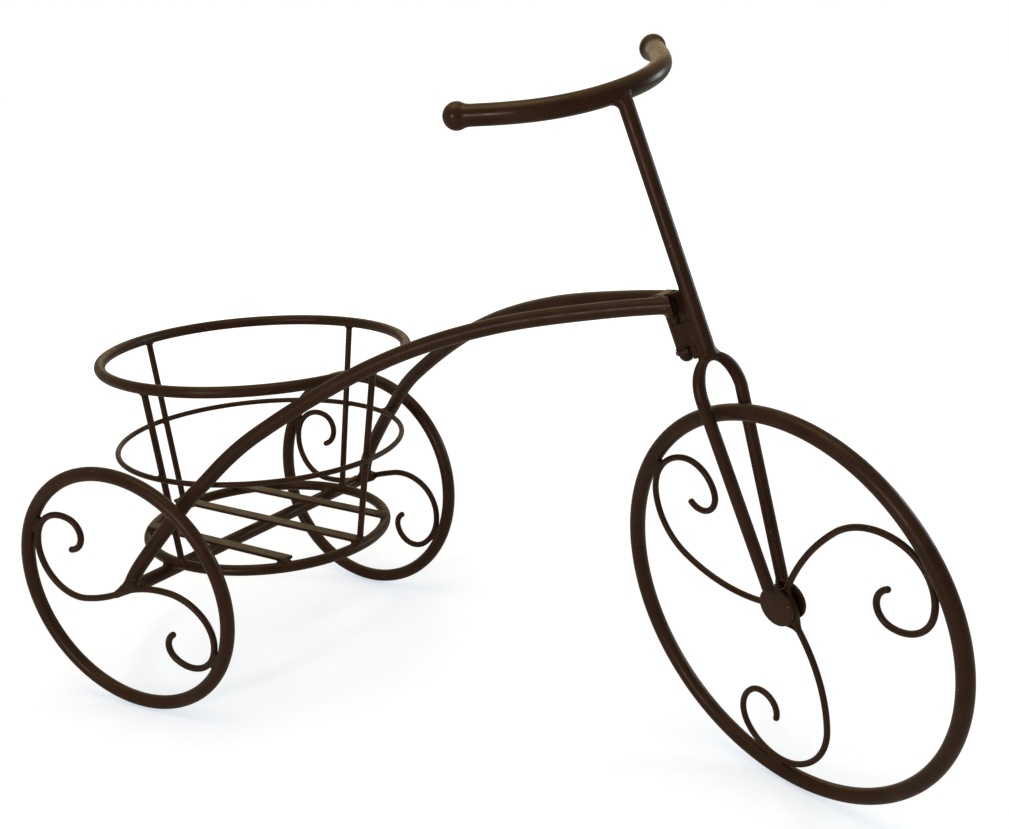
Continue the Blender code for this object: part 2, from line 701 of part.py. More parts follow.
def build_fork_and_stem(steering):
    route, widths = fork_route()
    rod("fork", route, FORK_ROD_DIAMETER, steering, widths=widths)
    crown_radius = FORK_ROD_DIAMETER / 2 * (1 - FORK_CROWN_SQUEEZE)
    foot = Vector((STEM_LEAD, 0.0, crown_radius + SEAT_GAP))
    head = Vector((STEM_LEAD, 0.0, STEM_LENGTH - HANDLEBAR_DIAMETER / 2 - SEAT_GAP))
    head.z -= HANDLEBAR_SHIFT * math.tan(HANDLEBAR_ROLL)
    rod("stem", (foot, head), STEM_DIAMETER, steering, TUBE_BEVEL_RESOLUTION)


def lug_outline():
    """A lug from above: round about the bolt, necked in, and hollowed to fit the stem."""
    hollow = STEM_DIAMETER / 2 + SEAT_GAP
    neck_half = LUG_NECK_WIDTH / 2
    hollow_angle = math.pi - math.asin(neck_half / hollow)
    steps = TURN_STEPS // 2
    outline = arc_points(0.0, LUG_END_RADIUS, LUG_NECK_ANGLE, 2 * math.pi - LUG_NECK_ANGLE, steps)
    outline += arc_points(STEM_LEAD, hollow, -hollow_angle, hollow_angle - 2 * math.pi, steps // 2)
    return outline


def build_lug(name, level, steering):
    """A flat lug welded to the stem, with a hole for the bolt."""
    curve = bpy.data.curves.new(name, "CURVE")
    curve.dimensions = "2D"
    curve.fill_mode = "BOTH"
    curve.extrude = LUG_THICKNESS / 2
    hole = arc_points(0.0, BOLT_BORE / 2, 0.0, 2 * math.pi, TURN_STEPS // 2)[:-1]
    for points in (lug_outline(), hole):
        spline = curve.splines.new("POLY")
        spline.points.add(len(points) - 1)
        for target, point in zip(spline.points, points):
            target.co = (point.x, point.y, 0.0, 1.0)
        spline.use_cyclic_u = True
    add_node(name, curve, steering, Matrix.Translation((0.0, 0.0, level + LUG_THICKNESS / 2)))


def build_cap_nut(steering):
    """A hexagon cap nut with a rounded, closed lower end and a blind bore."""
    corner = NUT_WIDTH / 2 / math.cos(math.pi / 6)
    turn = Matrix.Rotation(math.pi / 6, 4, "Z")
    place = Matrix.Translation((0.0, 0.0, NUT_LEVEL - NUT_HEIGHT / 2)) @ turn
    nut = add_node("cap_nut", cylinder_mesh(corner, NUT_HEIGHT, 6), steering, place, FASTENER_PAINT)
    bpy.ops.mesh.primitive_uv_sphere_add(
        segments=TURN_STEPS, ring_count=TURN_STEPS // 2, radius=NUT_DOME_RADIUS
    )
    dome_level = NUT_LEVEL - NUT_HEIGHT - NUT_DOME_HEIGHT + NUT_DOME_RADIUS
    dome_place = Matrix.Translation((0.0, 0.0, dome_level))
    dome = new_cutter("cap_nut_dome", taken_mesh(), dome_place, steering)
    bore_mesh = cylinder_mesh(BOLT_BORE / 2, 2 * NUT_BORE_DEPTH, TURN_STEPS)
    bore = new_cutter("cap_nut_bore", bore_mesh, Matrix.Translation((0.0, 0.0, NUT_LEVEL)), steering)
    add_cut(nut, dome, "UNION")
    add_cut(nut, bore)


def plate_mesh(outline, thickness):
    """A plate in the XZ plane from its outline."""
    count = len(outline)
    vertices = [(x, side * thickness / 2, z) for side in (-1, 1) for x, z in outline]
    faces = [tuple(range(count)), tuple(reversed(range(count, 2 * count)))]
    for index in range(count):
        after = (index + 1) % count
        faces.append((after, index, count + index, count + after))
    mesh = bpy.data.meshes.new("plate")
    mesh.from_pydata(vertices, [], faces)
    return mesh


def build_webs(steering):
    """The plate between the lugs, from the spacer to the stem, and the gusset below them."""
    at_stem = STEM_LEAD - STEM_DIAMETER / 2 - SEAT_GAP
    at_spacer = SLEEVE_DIAMETER / 2 + SEAT_GAP
    beside_sleeve = SLEEVE_DIAMETER / 2 + WEB_CLEARANCE
    beside_nut = NUT_WIDTH / 2 / math.cos(math.pi / 6) + WEB_CLEARANCE / 2
    bottom = LOWER_LUG_LEVEL + LUG_THICKNESS + SEAT_GAP
    top = LUG_LEVEL - SEAT_GAP
    step = SPACER_TOP - SEAT_GAP
    web = (
        (at_spacer, bottom),
        (at_stem, bottom),
        (at_stem, top),
        (beside_sleeve, top),
        (beside_sleeve, step),
        (at_spacer, step),
    )
    gusset_top = LOWER_LUG_LEVEL - SEAT_GAP
    gusset = (
        (beside_nut, GUSSET_RISE),
        (at_stem, GUSSET_RISE),
        (at_stem, gusset_top),
        (beside_nut, gusset_top),
    )
    add_node("lug_web", plate_mesh(web, WEB_THICKNESS), steering)
    add_node("crown_gusset", plate_mesh(gusset, WEB_THICKNESS), steering)


def build_steering_joint(steering):
    build_lug("upper_lug", LUG_LEVEL, steering)
    build_lug("lower_lug", LOWER_LUG_LEVEL, steering)
    build_webs(steering)
    spacer_place = Matrix.Translation((0.0, 0.0, (SPACER_TOP + SPACER_BOTTOM) / 2))
    bored_disc("spacer", SLEEVE_DIAMETER, BOLT_BORE, SPACER_LENGTH, steering, spacer_place)
    bolt_ends = (
        Vector((0.0, 0.0, NUT_LEVEL - NUT_BORE_DEPTH + SEAT_GAP)),
        Vector((0.0, 0.0, LUG_LEVEL + LUG_THICKNESS)),
    )
    rod("steering_bolt", bolt_ends, BOLT_DIAMETER, steering)
    washer_place = Matrix.Translation((0.0, 0.0, WASHER_LEVEL + WASHER_THICKNESS / 2))
    bored_disc(
        "bolt_washer", WASHER_DIAMETER, BOLT_BORE, WASHER_THICKNESS, steering, washer_place, FASTENER_PAINT
    )
    build_cap_nut(steering)


# Front wheel

def build_hub(hub, front_wheel):
    half = HUB_DISC_THICKNESS / 2
    radius = HUB_DISC_DIAMETER / 2
    profile = ((0.0, half), (radius, half), (radius, -half), (0.0, -half))
    for side, sign in SIDES.items():
        centre = (HUB_DISC_AHEAD, sign * HUB_DISC_SPREAD, HUB_DISC_RISE)
        place = Matrix.Translation(centre) @ ACROSS
        turned(f"hub_disc_{side}", profile, False, hub, place)
    pin_reach = HUB_DISC_INNER_FACE - SEAT_GAP
    pin_ends = (Vector((0.0, -pin_reach, 0.0)), Vector((0.0, pin_reach, 0.0)))
    rod("front_axle_pin", pin_ends, AXLE_PIN_DIAMETER, hub)
    barrel_length = 2 * (HUB_DISC_INNER_FACE - SEAT_GAP)
    bored_disc(
        "front_hub_barrel", HUB_BARREL_DIAMETER, PIN_BORE, barrel_length, front_wheel, ACROSS
    )


def build_front_wheel(front_wheel):
    ring("front_rim", FRONT_WHEEL_RADIUS, RIM_DIAMETER, RIM_SEGMENTS, front_wheel, ACROSS)
    reach = scroll_reach(FRONT_WHEEL_RADIUS, FRONT_SCROLL_DIAMETER)
    rod_radius = FRONT_SCROLL_DIAMETER / 2
    for number, (direction, heading, first_bend) in enumerate(FRONT_SCROLL_STARTS, start=1):
        start_radius = HUB_BARREL_DIAMETER / 2 + SEAT_GAP + rod_radius * abs(math.sin(heading))
        start = (start_radius * math.cos(direction), start_radius * math.sin(direction))
        bends = (first_bend,) + FRONT_CURL_SHARES
        points = fitted_scroll(start, direction + heading, bends, reach)
        rod(f"front_scroll_{number}", in_wheel_plane(points), FRONT_SCROLL_DIAMETER, front_wheel)


# The whole planter

def centre_on_ground(planter, parts):
    """Move the planter so that its bounding box stands centred on the origin."""
    bpy.context.view_layer.update()
    graph = bpy.context.evaluated_depsgraph_get()
    corners = []
    for obj in parts:
        evaluated = obj.evaluated_get(graph)
        mesh = evaluated.to_mesh()
        corners.extend(evaluated.matrix_world @ vertex.co for vertex in mesh.vertices)
        evaluated.to_mesh_clear()
    low = Vector(min(corner[axis] for corner in corners) for axis in range(3))
    high = Vector(max(corner[axis] for corner in corners) for axis in range(3))
    middle = (low + high) / 2
    planter.location = Vector((-middle.x, -middle.y, -low.z))


def build_planter():
    planter = new_empty("planter")
    left_wheel = build_rear_wheel("left", planter)
    right_wheel = build_rear_wheel("right", planter)
    head_turn = Matrix.Rotation(-HEAD_RAKE, 4, "Y")
    head = new_empty("head_axis", planter, Matrix.Translation(STEERING_ORIGIN) @ head_turn)
    left_route = build_frame_tube("left", left_wheel, head, planter)
    right_route = build_frame_tube("right", right_wheel, head, planter)
    build_rear_axle(left_route, right_route, planter)
    build_head_sleeve(head)
    build_basket(planter)

    steering = new_empty("steering_axis", planter, Matrix.Translation(STEERING_ORIGIN) @ STEERING_TURN)
    build_fork_and_stem(steering)
    build_handlebar(steering)
    build_steering_joint(steering)

    hub_place = Matrix.Translation(HUB_IN_STEERING) @ Matrix.Rotation(FRONT_WHEEL_LEAN, 4, "X")
    hub = new_empty("hub", steering, hub_place)
    front_wheel = new_empty("front_wheel_axis", hub)
    build_hub(hub, front_wheel)
    build_front_wheel(front_wheel)
    centre_on_ground(planter, PARTS.objects)


clear_scene()
PARTS = new_collection("tricycle_planter")
CUTTERS = new_collection("cutters")
GUIDES = new_collection("guides")
build_planter()
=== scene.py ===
"""Dressed model of a tricycle planter: painted steel rods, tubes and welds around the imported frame.

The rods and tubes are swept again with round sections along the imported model's own
centre lines, and each joint gets a weld that is shaped from the pieces it joins.
Lengths are in metres. The planter's front wheel points towards +X.
"""

import itertools
import math

import bpy
import numpy as np
from mathutils import Matrix, Vector
from mathutils.geometry import interpolate_bezier


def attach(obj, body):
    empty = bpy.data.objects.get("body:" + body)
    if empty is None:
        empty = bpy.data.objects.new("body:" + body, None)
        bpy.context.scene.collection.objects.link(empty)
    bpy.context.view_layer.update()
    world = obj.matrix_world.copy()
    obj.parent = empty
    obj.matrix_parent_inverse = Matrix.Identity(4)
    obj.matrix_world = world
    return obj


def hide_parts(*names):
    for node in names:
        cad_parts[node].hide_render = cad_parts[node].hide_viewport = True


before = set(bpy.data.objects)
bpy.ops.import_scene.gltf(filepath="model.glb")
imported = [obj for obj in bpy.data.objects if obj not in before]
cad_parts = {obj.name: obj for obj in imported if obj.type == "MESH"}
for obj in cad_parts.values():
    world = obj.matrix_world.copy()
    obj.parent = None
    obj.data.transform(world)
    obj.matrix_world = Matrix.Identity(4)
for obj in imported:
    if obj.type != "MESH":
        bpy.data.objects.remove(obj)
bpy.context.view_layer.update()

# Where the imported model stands: the middle of the rear axle's line on the ground
PLANTER = Matrix.Translation((-0.285946, 0.005418, -0.000008))
SEAT_GAP = 0.0003

# Rear wheels
RIM_RADIUS = 0.00635
REAR_WHEEL_RADIUS = 0.1124
REAR_TRACK = 0.342
REAR_HUB_HEIGHT = 0.118616
REAR_CAMBER = math.radians(2.8)
REAR_TOE = {"left": 0.0, "right": math.radians(7.8)}
REAR_SCROLL_RADIUS = 0.003
AXLE_RADIUS = 0.00635
AXLE_ENDS = (-0.15844, 0.15822)

# Scrolls: heading in degrees, then bends of length and turn in degrees
REAR_SCROLLS = {
    ("left", "rear"): (203.0, (
        (0.05752, -26), (0.03239, -47), (0.03864, -52), (0.05160, -96), (0.04568, -153))),
    ("left", "front"): (19.8, (
        (0.04162, -7), (0.04184, -49), (0.07652, -111), (0.04318, -110), (0.01835, -84))),
    ("right", "rear"): (207.3, (
        (0.05103, -20), (0.03305, -47), (0.06126, -79), (0.04642, -84), (0.04417, -160))),
    ("right", "front"): (21.2, (
        (0.05336, -28), (0.03937, -45), (0.04060, -66), (0.05011, -102), (0.03031, -118))),
}

# Front wheel: each scroll has its direction from the hub, start radius, heading and bends
FRONT_WHEEL_RADIUS = 0.1542
FRONT_WHEEL_LEAN = math.radians(0.5)
FRONT_SCROLL_RADIUS = 0.0025
FRONT_SCROLLS = (
    (162.6, 0.011835, 170.3, (
        (0.08777, -38), (0.05738, -60.6), (0.05815, -84.3), (0.04218, -86.8), (0.04078, -153.6))),
    (53.6, 0.011670, 49.7, (
        (0.08477, -30), (0.05766, -60.6), (0.05844, -84.3), (0.04239, -86.8), (0.04098, -153.6))),
    (-53.9, 0.012335, -73.4, (
        (0.09211, -38), (0.05747, -60.6), (0.05825, -84.3), (0.04225, -86.8), (0.04085, -153.6))),
)
BARREL_RADIUS = 0.0112
BARREL_HALF = 0.005375
HUB_FLANGE_RADIUS = 0.0140
HUB_DISC_RADIUS = 0.0155
HUB_DISC_HALF = 0.00125
HUB_DISC_SPREAD = 0.006925
HUB_DISC_AHEAD = 0.0025
HUB_DISC_RISE = 0.0036

# Steering
STEERING_ORIGIN = Vector((0.463929, 0.0015, 0.338247))
HEAD_RAKE = math.radians(21.0)
STEER_ANGLE = math.radians(-20.8)
FORK_RADIUS = 0.00475
FORK_LENGTH = 0.1957
FORK_CROWN_WIDTH = 0.0396
FORK_CROWN_HEIGHT = 0.0275
FORK_CROWN_SQUEEZE = 0.3
LEG_END_SPREAD = 0.00755
LEG_LAP = 0.0022
HUB_LEAD = 0.0107
STEM_LEAD = 0.0226
STEM_RADIUS = 0.0058
STEM_LENGTH = 0.1983
HANDLEBAR_RADIUS = 0.008
HANDLEBAR_SETBACK = 0.0046
HANDLEBAR_SHIFT = 0.0027
HANDLEBAR_LIFT = math.radians(25.3)
HANDLEBAR_ROLL = math.radians(3.2)
HANDLEBAR_YAW = math.radians(-1.9)
HANDLEBAR_BENDS = ((0.01451, 7), (0.05806, 39), (0.02903, 11), (0.01451, -1))
BALL_RADIUS = 0.0103
BALL_NECK = 0.012
BALL_CENTRE = Vector((0.095262, 0.066722))
BALL_ALONG = Vector((0.555570, 0.831470))

# Steering head, as levels along the steering axis
SLEEVE_RADIUS = 0.00625
SLEEVE_TOP = 0.048897
SLEEVE_BOTTOM = 0.029697
SPACER_TOP = 0.029397
SPACER_BOTTOM = 0.014697
LUG_LEVEL = 0.049197
LOWER_LUG_LEVEL = 0.011897
LUG_THICKNESS = 0.0025
NUT_LEVEL = 0.010297
NUT_APOTHEM = 0.007
NUT_HEIGHT = 0.004
NUT_DOME_RADIUS = 0.0058
NUT_DOME_HEIGHT = 0.006

# Frame tubes, as the points that their centre lines pass through
TUBE_RADIUS = 0.00635
TUBE_WALL = 0.0011
TUBE_NOSE = 0.006
TUBE_CUT_ANGLE = math.radians(62.5)
HEAD_DROOP = 0.0017
HEAD_DROOP_REACH = 0.05
TAIL_DROP = {"left": 0.0025, "right": 0.0}
TAIL_LEAD = {"left": 0.0078, "right": 0.0}
TAIL_LEAD_REACH = 0.08
TUBE_KNOTS = {
    "left": (
        (-0.285946, 0.170818, 0.118608), (-0.275487, 0.163353, 0.139895),
        (-0.233503, 0.146541, 0.192101), (-0.212290, 0.137789, 0.214929),
        (-0.161918, 0.116394, 0.263225), (-0.060796, 0.080379, 0.326109),
        (0.040327, 0.049595, 0.362163), (0.166446, 0.018929, 0.382622),
    ),
    "right": (
        (-0.285946, -0.159982, 0.118608), (-0.275487, -0.152924, 0.140409),
        (-0.233503, -0.137029, 0.193876), (-0.212290, -0.128753, 0.217255),
        (-0.161918, -0.106491, 0.264881), (-0.060796, -0.069018, 0.326893),
        (0.040327, -0.036987, 0.362447), (0.166446, -0.005079, 0.382622),
    ),
}
TUBE_TAILS = {
    "left": (-0.287371, 0.172079, 0.115090),
    "right": (-0.287352, -0.161159, 0.115053),
}

# Basket: centre, radius and rod radius of each ring, and the ends of each upright
BASKET_ROLL = math.radians(-0.5)
RINGS = {
    "top": ((-0.262746, 0.004518, 0.300692), 0.1412, 0.005),
    "middle": ((-0.265327, 0.004518, 0.216092), 0.134291, 0.0025),
    "lower": ((-0.268046, 0.004518, 0.126958), 0.115, 0.005),
}
UPRIGHT_RADIUS = 0.003
UPRIGHTS = {
    "front": ((-0.151405, 0.004543, 0.136008), (-0.122492, 0.004996, 0.295473)),
    "left": ((-0.270087, 0.120283, 0.131193), (-0.264885, 0.144907, 0.294222)),
    "rear": ((-0.384084, 0.001650, 0.135903), (-0.403259, 0.000610, 0.295465)),
    "right": ((-0.267753, -0.111264, 0.133195), (-0.258604, -0.135821, 0.296691)),
}
SLAT_WIDTH = 0.0125
SLAT_THICKNESS = 0.003
SLAT_YAW = math.radians(1.1)
SLATS = {
    "left": ((-0.269179, 0.063564, 0.133243), 0.194231),
    "middle": ((-0.267989, 0.001578, 0.133784), 0.242),
    "right": ((-0.266683, -0.066407, 0.134377), 0.175743),
}

# How finely the shapes are made
ROUTE_STEP = 0.0025
RIM_STEPS = 192
TUBE_SIDES = 28
ROD_SIDES = 20
TURN_SIDES = 64
KNOT_STEPS = 28
ARCH_STEPS = 48
CAP_STEPS = 5
SHARP_ANGLE = math.radians(38)
WELD_STEP = 0.0005
WELD_DEPTH = 0.0012
POLE_RADIUS = 0.0001

# Each weld's reach from its middle, fillet radius, bead height and spread. A weld
# between two rods has its reach from their radii.
WELDS = {
    "scroll to rim": (None, 0.0045, 0.0002, 0.0030),
    "upright": (None, 0.0032, 0.0002, 0.0026),
    "middle ring": (None, 0.0034, 0.0002, 0.0026),
    "basket seat": (None, 0.0055, 0.0003, 0.0040),
    "upright to slat": (0.0090, 0.0032, 0.0002, 0.0026),
    "slat": (0.0110, 0.0030, 0.0002, 0.0024),
    "left hub": (0.0180, 0.0080, 0.0004, 0.0050),
    "right hub": (0.0180, 0.0090, 0.0004, 0.0062),
    "axle": (0.0150, 0.0060, 0.0003, 0.0045),
    "sleeve": (0.0210, 0.0105, 0.0003, 0.0070),
    "bridge": (0.0165, 0.0040, 0.0002, 0.0150),
    "lug": (0.0090, 0.0030, 0.0002, 0.0026),
    "stem foot": (0.0130, 0.0060, 0.0002, 0.0046),
    "stem head": (0.0170, 0.0060, 0.0001, 0.0052),
    "web": (0.0130, 0.0050, 0.0002, 0.0040),
    "spacer": (0.0150, 0.0060, 0.0002, 0.0150),
    "gusset": (0.0125, 0.0060, 0.0002, 0.0044),
    "disc": (0.0120, 0.0042, 0.0003, 0.0036),
    "spoke": (0.0125, 0.0040, 0.0001, 0.0080),
    "barrel": (0.0165, 0.0040, 0.0001, 0.0080),
}
STEM_SINK = 0.0046
STEM_SOFTNESS = 0.0055
SPOKE_FLARE = 0.0042
SPOKE_FLARE_LENGTH = 0.0085
FLANGE_HALF = 0.0024

SIDES = {"left": 1, "right": -1}


# Places of the main groups

def shift(place):
    return Matrix.Translation(place)


def turn(angle, axis):
    return Matrix.Rotation(angle, 4, axis)


HEAD = PLANTER @ shift(STEERING_ORIGIN) @ turn(-HEAD_RAKE, "Y")
STEERING = HEAD @ turn(STEER_ANGLE, "Z")
HUB = STEERING @ shift((HUB_LEAD, 0.0, -FORK_LENGTH)) @ turn(FRONT_WHEEL_LEAN, "X")
REAR_WHEELS = {
    side: PLANTER
    @ shift((0.0, sign * REAR_TRACK / 2, REAR_HUB_HEIGHT))
    @ turn(-sign * REAR_TOE[side], "Z")
    @ turn(-sign * REAR_CAMBER, "X")
    for side, sign in SIDES.items()
}
SLAT_PLACES = {
    side: shift(centre)
    @ turn(BASKET_ROLL, "X")
    @ turn(SLAT_YAW, "Z")
    for side, (centre, _) in SLATS.items()
}


# Node materials

def new_material(name):
    material = bpy.data.materials.new(name)
    material.use_nodes = True
    tree = material.node_tree
    tree.nodes.clear()
    return material, tree


def feed(tree, socket, value):
    """A link where the value is another node's output, and a set value otherwise."""
    if isinstance(value, bpy.types.NodeSocket):
        tree.links.new(value, socket)
    else:
        socket.default_value = value


def add(tree, kind, inputs=None, **settings):
    """A node with its settings, and its inputs by name or number."""
    node = tree.nodes.new(f"ShaderNode{kind}")
    for key, value in settings.items():
        setattr(node, key, value)
    for key, value in (inputs or {}).items():
        feed(tree, node.inputs[key], value)
    return node


def ramp(tree, source, stops):
    node = add(tree, "ValToRGB", {"Fac": source})
    for element, (position, colour) in zip(node.color_ramp.elements, stops):
        element.position = position
        element.color = colour
    return node.outputs["Color"]


def noise(tree, place, scale, detail):
    inputs = {"Vector": place, "Scale": scale, "Detail": detail, "Roughness": 0.55}
    return add(tree, "TexNoise", inputs).outputs["Fac"]


def mapped(tree, source, low, high, out_low, out_high):
    inputs = {"Value": source, "From Min": low, "From Max": high, "To Min": out_low, "To Max": out_high}
    return add(tree, "MapRange", inputs).outputs["Result"]


def mixed(tree, factor, first, second):
    node = add(tree, "Mix", data_type="RGBA")
    for name, value in (("Factor", factor), ("A", first), ("B", second)):
        feed(tree, [item for item in node.inputs if item.name == name and item.enabled][0], value)
    return [item for item in node.outputs if item.enabled][0]


def product(tree, first, second):
    return add(tree, "Math", {0: first, 1: second}, operation="MULTIPLY").outputs[0]


def paint_material(name, dark, body, warm, roughness, grain, lumps, top_sheen=0.30):
    """Brown enamel: uneven in colour and gloss, with orange peel, and a painted warm sheen on upward faces
    that stands in for light from above.
    """
    material, tree = new_material(name)
    place = add(tree, "TexCoord").outputs["Object"]
    broad = noise(tree, place, 38.0, 4.0)
    colour = ramp(tree, broad, ((0.30, dark), (0.62, body)))
    speckle_stops = ((0.62, (0, 0, 0, 1)), (0.85, (0.45, 0.45, 0.45, 1)))
    colour = mixed(tree, ramp(tree, noise(tree, place, 420.0, 3.0), speckle_stops), colour, warm)
    normal = add(tree, "SeparateXYZ", {0: add(tree, "NewGeometry").outputs["Normal"]})
    # Painted sheen: faces that point up are mixed towards the warm colour, a painted highlight for warm
    # light from above
    upward = mapped(tree, normal.outputs["Z"], 0.35, 1.0, 0.0, top_sheen)
    colour = mixed(tree, product(tree, upward, mapped(tree, broad, 0.3, 0.7, 0.55, 1.0)), colour, warm)
    flecks = add(tree, "TexVoronoi", {"Vector": place, "Scale": 62.0}).outputs["Distance"]
    colour = mixed(tree, mapped(tree, flecks, 0.030, 0.045, 0.8, 0.0), colour, FLECK_COLOUR)
    gloss = mapped(tree, noise(tree, place, 95.0, 4.0), 0.3, 0.7, roughness - 0.07, roughness + 0.08)
    swell = add(tree, "Bump", {
        "Strength": lumps, "Distance": 0.0006, "Height": noise(tree, place, 230.0, 2.0),
    })
    peel = add(tree, "Bump", {
        "Strength": grain, "Distance": 0.0002, "Height": noise(tree, place, 1100.0, 2.0),
        "Normal": swell.outputs["Normal"],
    })
    shader = add(tree, "BsdfPrincipled", {
        "Base Color": colour, "Roughness": gloss, "Normal": peel.outputs["Normal"],
        "Specular IOR Level": 0.25, "Specular Tint": (0.90, 0.72, 0.60, 1.0),
    })
    add(tree, "OutputMaterial", {"Surface": shader.outputs[0]})
    return material


FLECK_COLOUR = (0.22, 0.17, 0.15, 1.0)
PAINT = paint_material(
    "brown_enamel", (0.0250, 0.0105, 0.0056, 1), (0.0375, 0.0172, 0.0106, 1), (0.056, 0.033, 0.012, 1),
    0.36, 0.20, 0.08,
)
# Handlebar paint: glossier, with a stronger painted golden sheen on its upward faces
GRIP_PAINT = paint_material(
    "brown_enamel_on_handlebar", (0.0235, 0.0098, 0.0048, 1), (0.0360, 0.0162, 0.0096, 1),
    (0.130, 0.078, 0.028, 1), 0.27, 0.12, 0.05, 0.62,
)
WELD_PAINT = paint_material(
    "brown_enamel_on_weld", (0.0220, 0.0092, 0.0048, 1), (0.0350, 0.0158, 0.0094, 1),
    (0.060, 0.036, 0.013, 1), 0.38, 0.30, 0.65,
)
FASTENER_PAINT = paint_material(
    "brown_enamel_on_fastener", (0.0190, 0.0080, 0.0042, 1), (0.0300, 0.0140, 0.0085, 1),
    (0.062, 0.040, 0.020, 1), 0.32, 0.16, 0.05,
)


# Meshes

def new_object(name, data):
    obj = bpy.data.objects.new(name, data)
    bpy.context.scene.collection.objects.link(obj)
    return obj


def new_piece(name, vertices, faces, body, nodes=(), material=PAINT, slot="paint"):
    """A piece of the object that rides on a body and stands for CAD nodes."""
    mesh = bpy.data.meshes.new(name)
    mesh.from_pydata([tuple(vertex) for vertex in vertices], [], [tuple(face) for face in faces])
    mesh.validate()
    mesh.shade_smooth()
    mesh.set_sharp_from_angle(angle=SHARP_ANGLE)
    mesh.materials.append(material)
    obj = new_object(name, mesh)
    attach(obj, body)
    if nodes:
        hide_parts(*nodes)


def moved(matrix, points):
    points = np.asarray([tuple(point) for point in points], float)
    matrix = np.array(matrix)
    return points @ matrix[:3, :3].T + matrix[:3, 3]


def local_to(place):
    """Turns points into the place's own frame."""
    inverse = place.inverted()
    return lambda points: moved(inverse, points)


def lengths_along(points):
    steps = np.linalg.norm(np.diff(points, axis=0), axis=1)
    return np.concatenate(([0.0], np.cumsum(steps)))


def trimmed(points, start, end):
    """The line with a length taken off each end, and its points as shares of the whole."""
    along = lengths_along(points)
    stop = along[-1] - end
    keep = (along > start + 1e-6) & (along < stop - 1e-6)
    marks = np.concatenate(([start], along[keep], [stop]))
    line = np.stack([np.interp(marks, along, points[:, axis]) for axis in range(3)], axis=1)
    return line, marks / along[-1]


def rounded_cap(radius, rounding):
    """Rings of an end whose edge is rounded, as distances past the trimmed end and radii."""
    angles = [math.pi / 2 * step / CAP_STEPS for step in range(1, CAP_STEPS + 1)]
    return [(rounding * math.sin(angle), radius - rounding * (1 - math.cos(angle))) for angle in angles]


def frames_along(points, closed):
    """Tangents and two square directions along a line, carried along without twist."""
    around = np.roll(points, -1, axis=0) - np.roll(points, 1, axis=0)
    tangents = around if closed else np.gradient(points, axis=0)
    tangents /= np.linalg.norm(tangents, axis=1, keepdims=True)
    first = np.array((0.0, 0.0, 1.0)) if abs(tangents[0][2]) < 0.8 else np.array((0.0, 1.0, 0.0))
    firsts = []
    for tangent in tangents:
        first = first - tangent * first.dot(tangent)
        first = first / np.linalg.norm(first)
        firsts.append(first)
    firsts = np.array(firsts)
    return tangents, firsts, np.cross(tangents, firsts)


def round_section(centre, radius, first, second, sides):
    angles = np.arange(sides) * 2 * math.pi / sides
    return centre + radius * (np.outer(np.cos(angles), first) + np.outer(np.sin(angles), second))


def swept(points, radii, sides, closed=False, caps=((), ())):
    """Vertices and faces of a round section along a line of points."""
    tangents, firsts, seconds = frames_along(points, closed)
    stations = list(zip(points, radii, firsts, seconds))
    for distance, radius in caps[0]:
        stations.insert(0, (points[0] - tangents[0] * distance, radius, firsts[0], seconds[0]))
    for distance, radius in caps[1]:
        stations.append((points[-1] + tangents[-1] * distance, radius, firsts[-1], seconds[-1]))
    return lofted([round_section(*station, sides) for station in stations], closed)


def ring_faces(count, sides, closed=False, reverse=False):
    """Quads between rings of vertices, and the faces of both ends."""
    faces = []
    for ring in range(count if closed else count - 1):
        here = ring * sides
        there = (ring + 1) % count * sides
        for side in range(sides):
            after = (side + 1) % sides
            face = [here + side, here + after, there + after, there + side]
            faces.append(face[:1] + face[:0:-1] if reverse else face)
    if not closed:
        step = 1 if reverse else -1
        faces.append(list(range(sides))[::step])
        faces.append(list(range((count - 1) * sides, count * sides))[::-step])
    return faces


def lofted(rings, closed=False):
    """Vertices and faces through rings of equally many vertices."""
    return np.concatenate(rings), ring_faces(len(rings), len(rings[0]), closed)


def ring_of(radius, height, sides=TURN_SIDES):
    angles = np.arange(sides) * 2 * math.pi / sides
    return [(radius * math.cos(angle), radius * math.sin(angle), height) for angle in angles]


def turned(rings, place):
    """Vertices and faces through rings about an axis, closed at both ends."""
    return moved(place, sum(rings, [])), ring_faces(len(rings), len(rings[0]), reverse=True)


# Centre lines

ROUTES = {}


def bent_route(start, heading, bends):
    """Points of a plane line with smooth bends of length and turn."""
    points = [Vector(start)]
    for length, turn_degrees in bends:
        steps = max(2, math.ceil(length / ROUTE_STEP))
        half_turn = math.radians(turn_degrees) / steps / 2
        chord = length / steps * math.sin(half_turn) / half_turn
        for _ in range(steps):
            heading += half_turn
            points.append(points[-1] + chord * Vector((math.cos(heading), math.sin(heading))))
            heading += half_turn
    return points


def in_wheel(place, points):
    """Points of a wheel's own plane, which is the place's XZ plane."""
    return moved(place, [(point[0], 0.0, point[1]) for point in points])


def straight(start, end):
    steps = max(2, math.ceil(math.dist(start, end) / ROUTE_STEP))
    return np.linspace(start, end, steps + 1)


def add_rod(
    node, points, radius, body, sides=ROD_SIDES, closed=False, roundings=(0.0004, 0.0004), widths=None,
    material=PAINT,
):
    """A round rod along its centre line, kept for the welds."""
    points = np.asarray(points, float)
    name = f"{node}_rod"
    if closed:
        radii = np.full(len(points), radius)
        ROUTES[node] = (np.vstack((points, points[:1])), np.append(radii, radius))
        new_piece(name, *swept(points, radii, sides, True), body, (node,), material)
        return
    line, marks = trimmed(points, *roundings)
    radii = np.full(len(line), radius)
    if widths is not None:
        along = lengths_along(points)
        radii = radius * np.interp(marks, along / along[-1], widths)
    ROUTES[node] = (line, radii)
    caps = [rounded_cap(radii[end], roundings[end]) for end in (0, -1)]
    new_piece(name, *swept(line, radii, sides, False, caps), body, (node,), material)


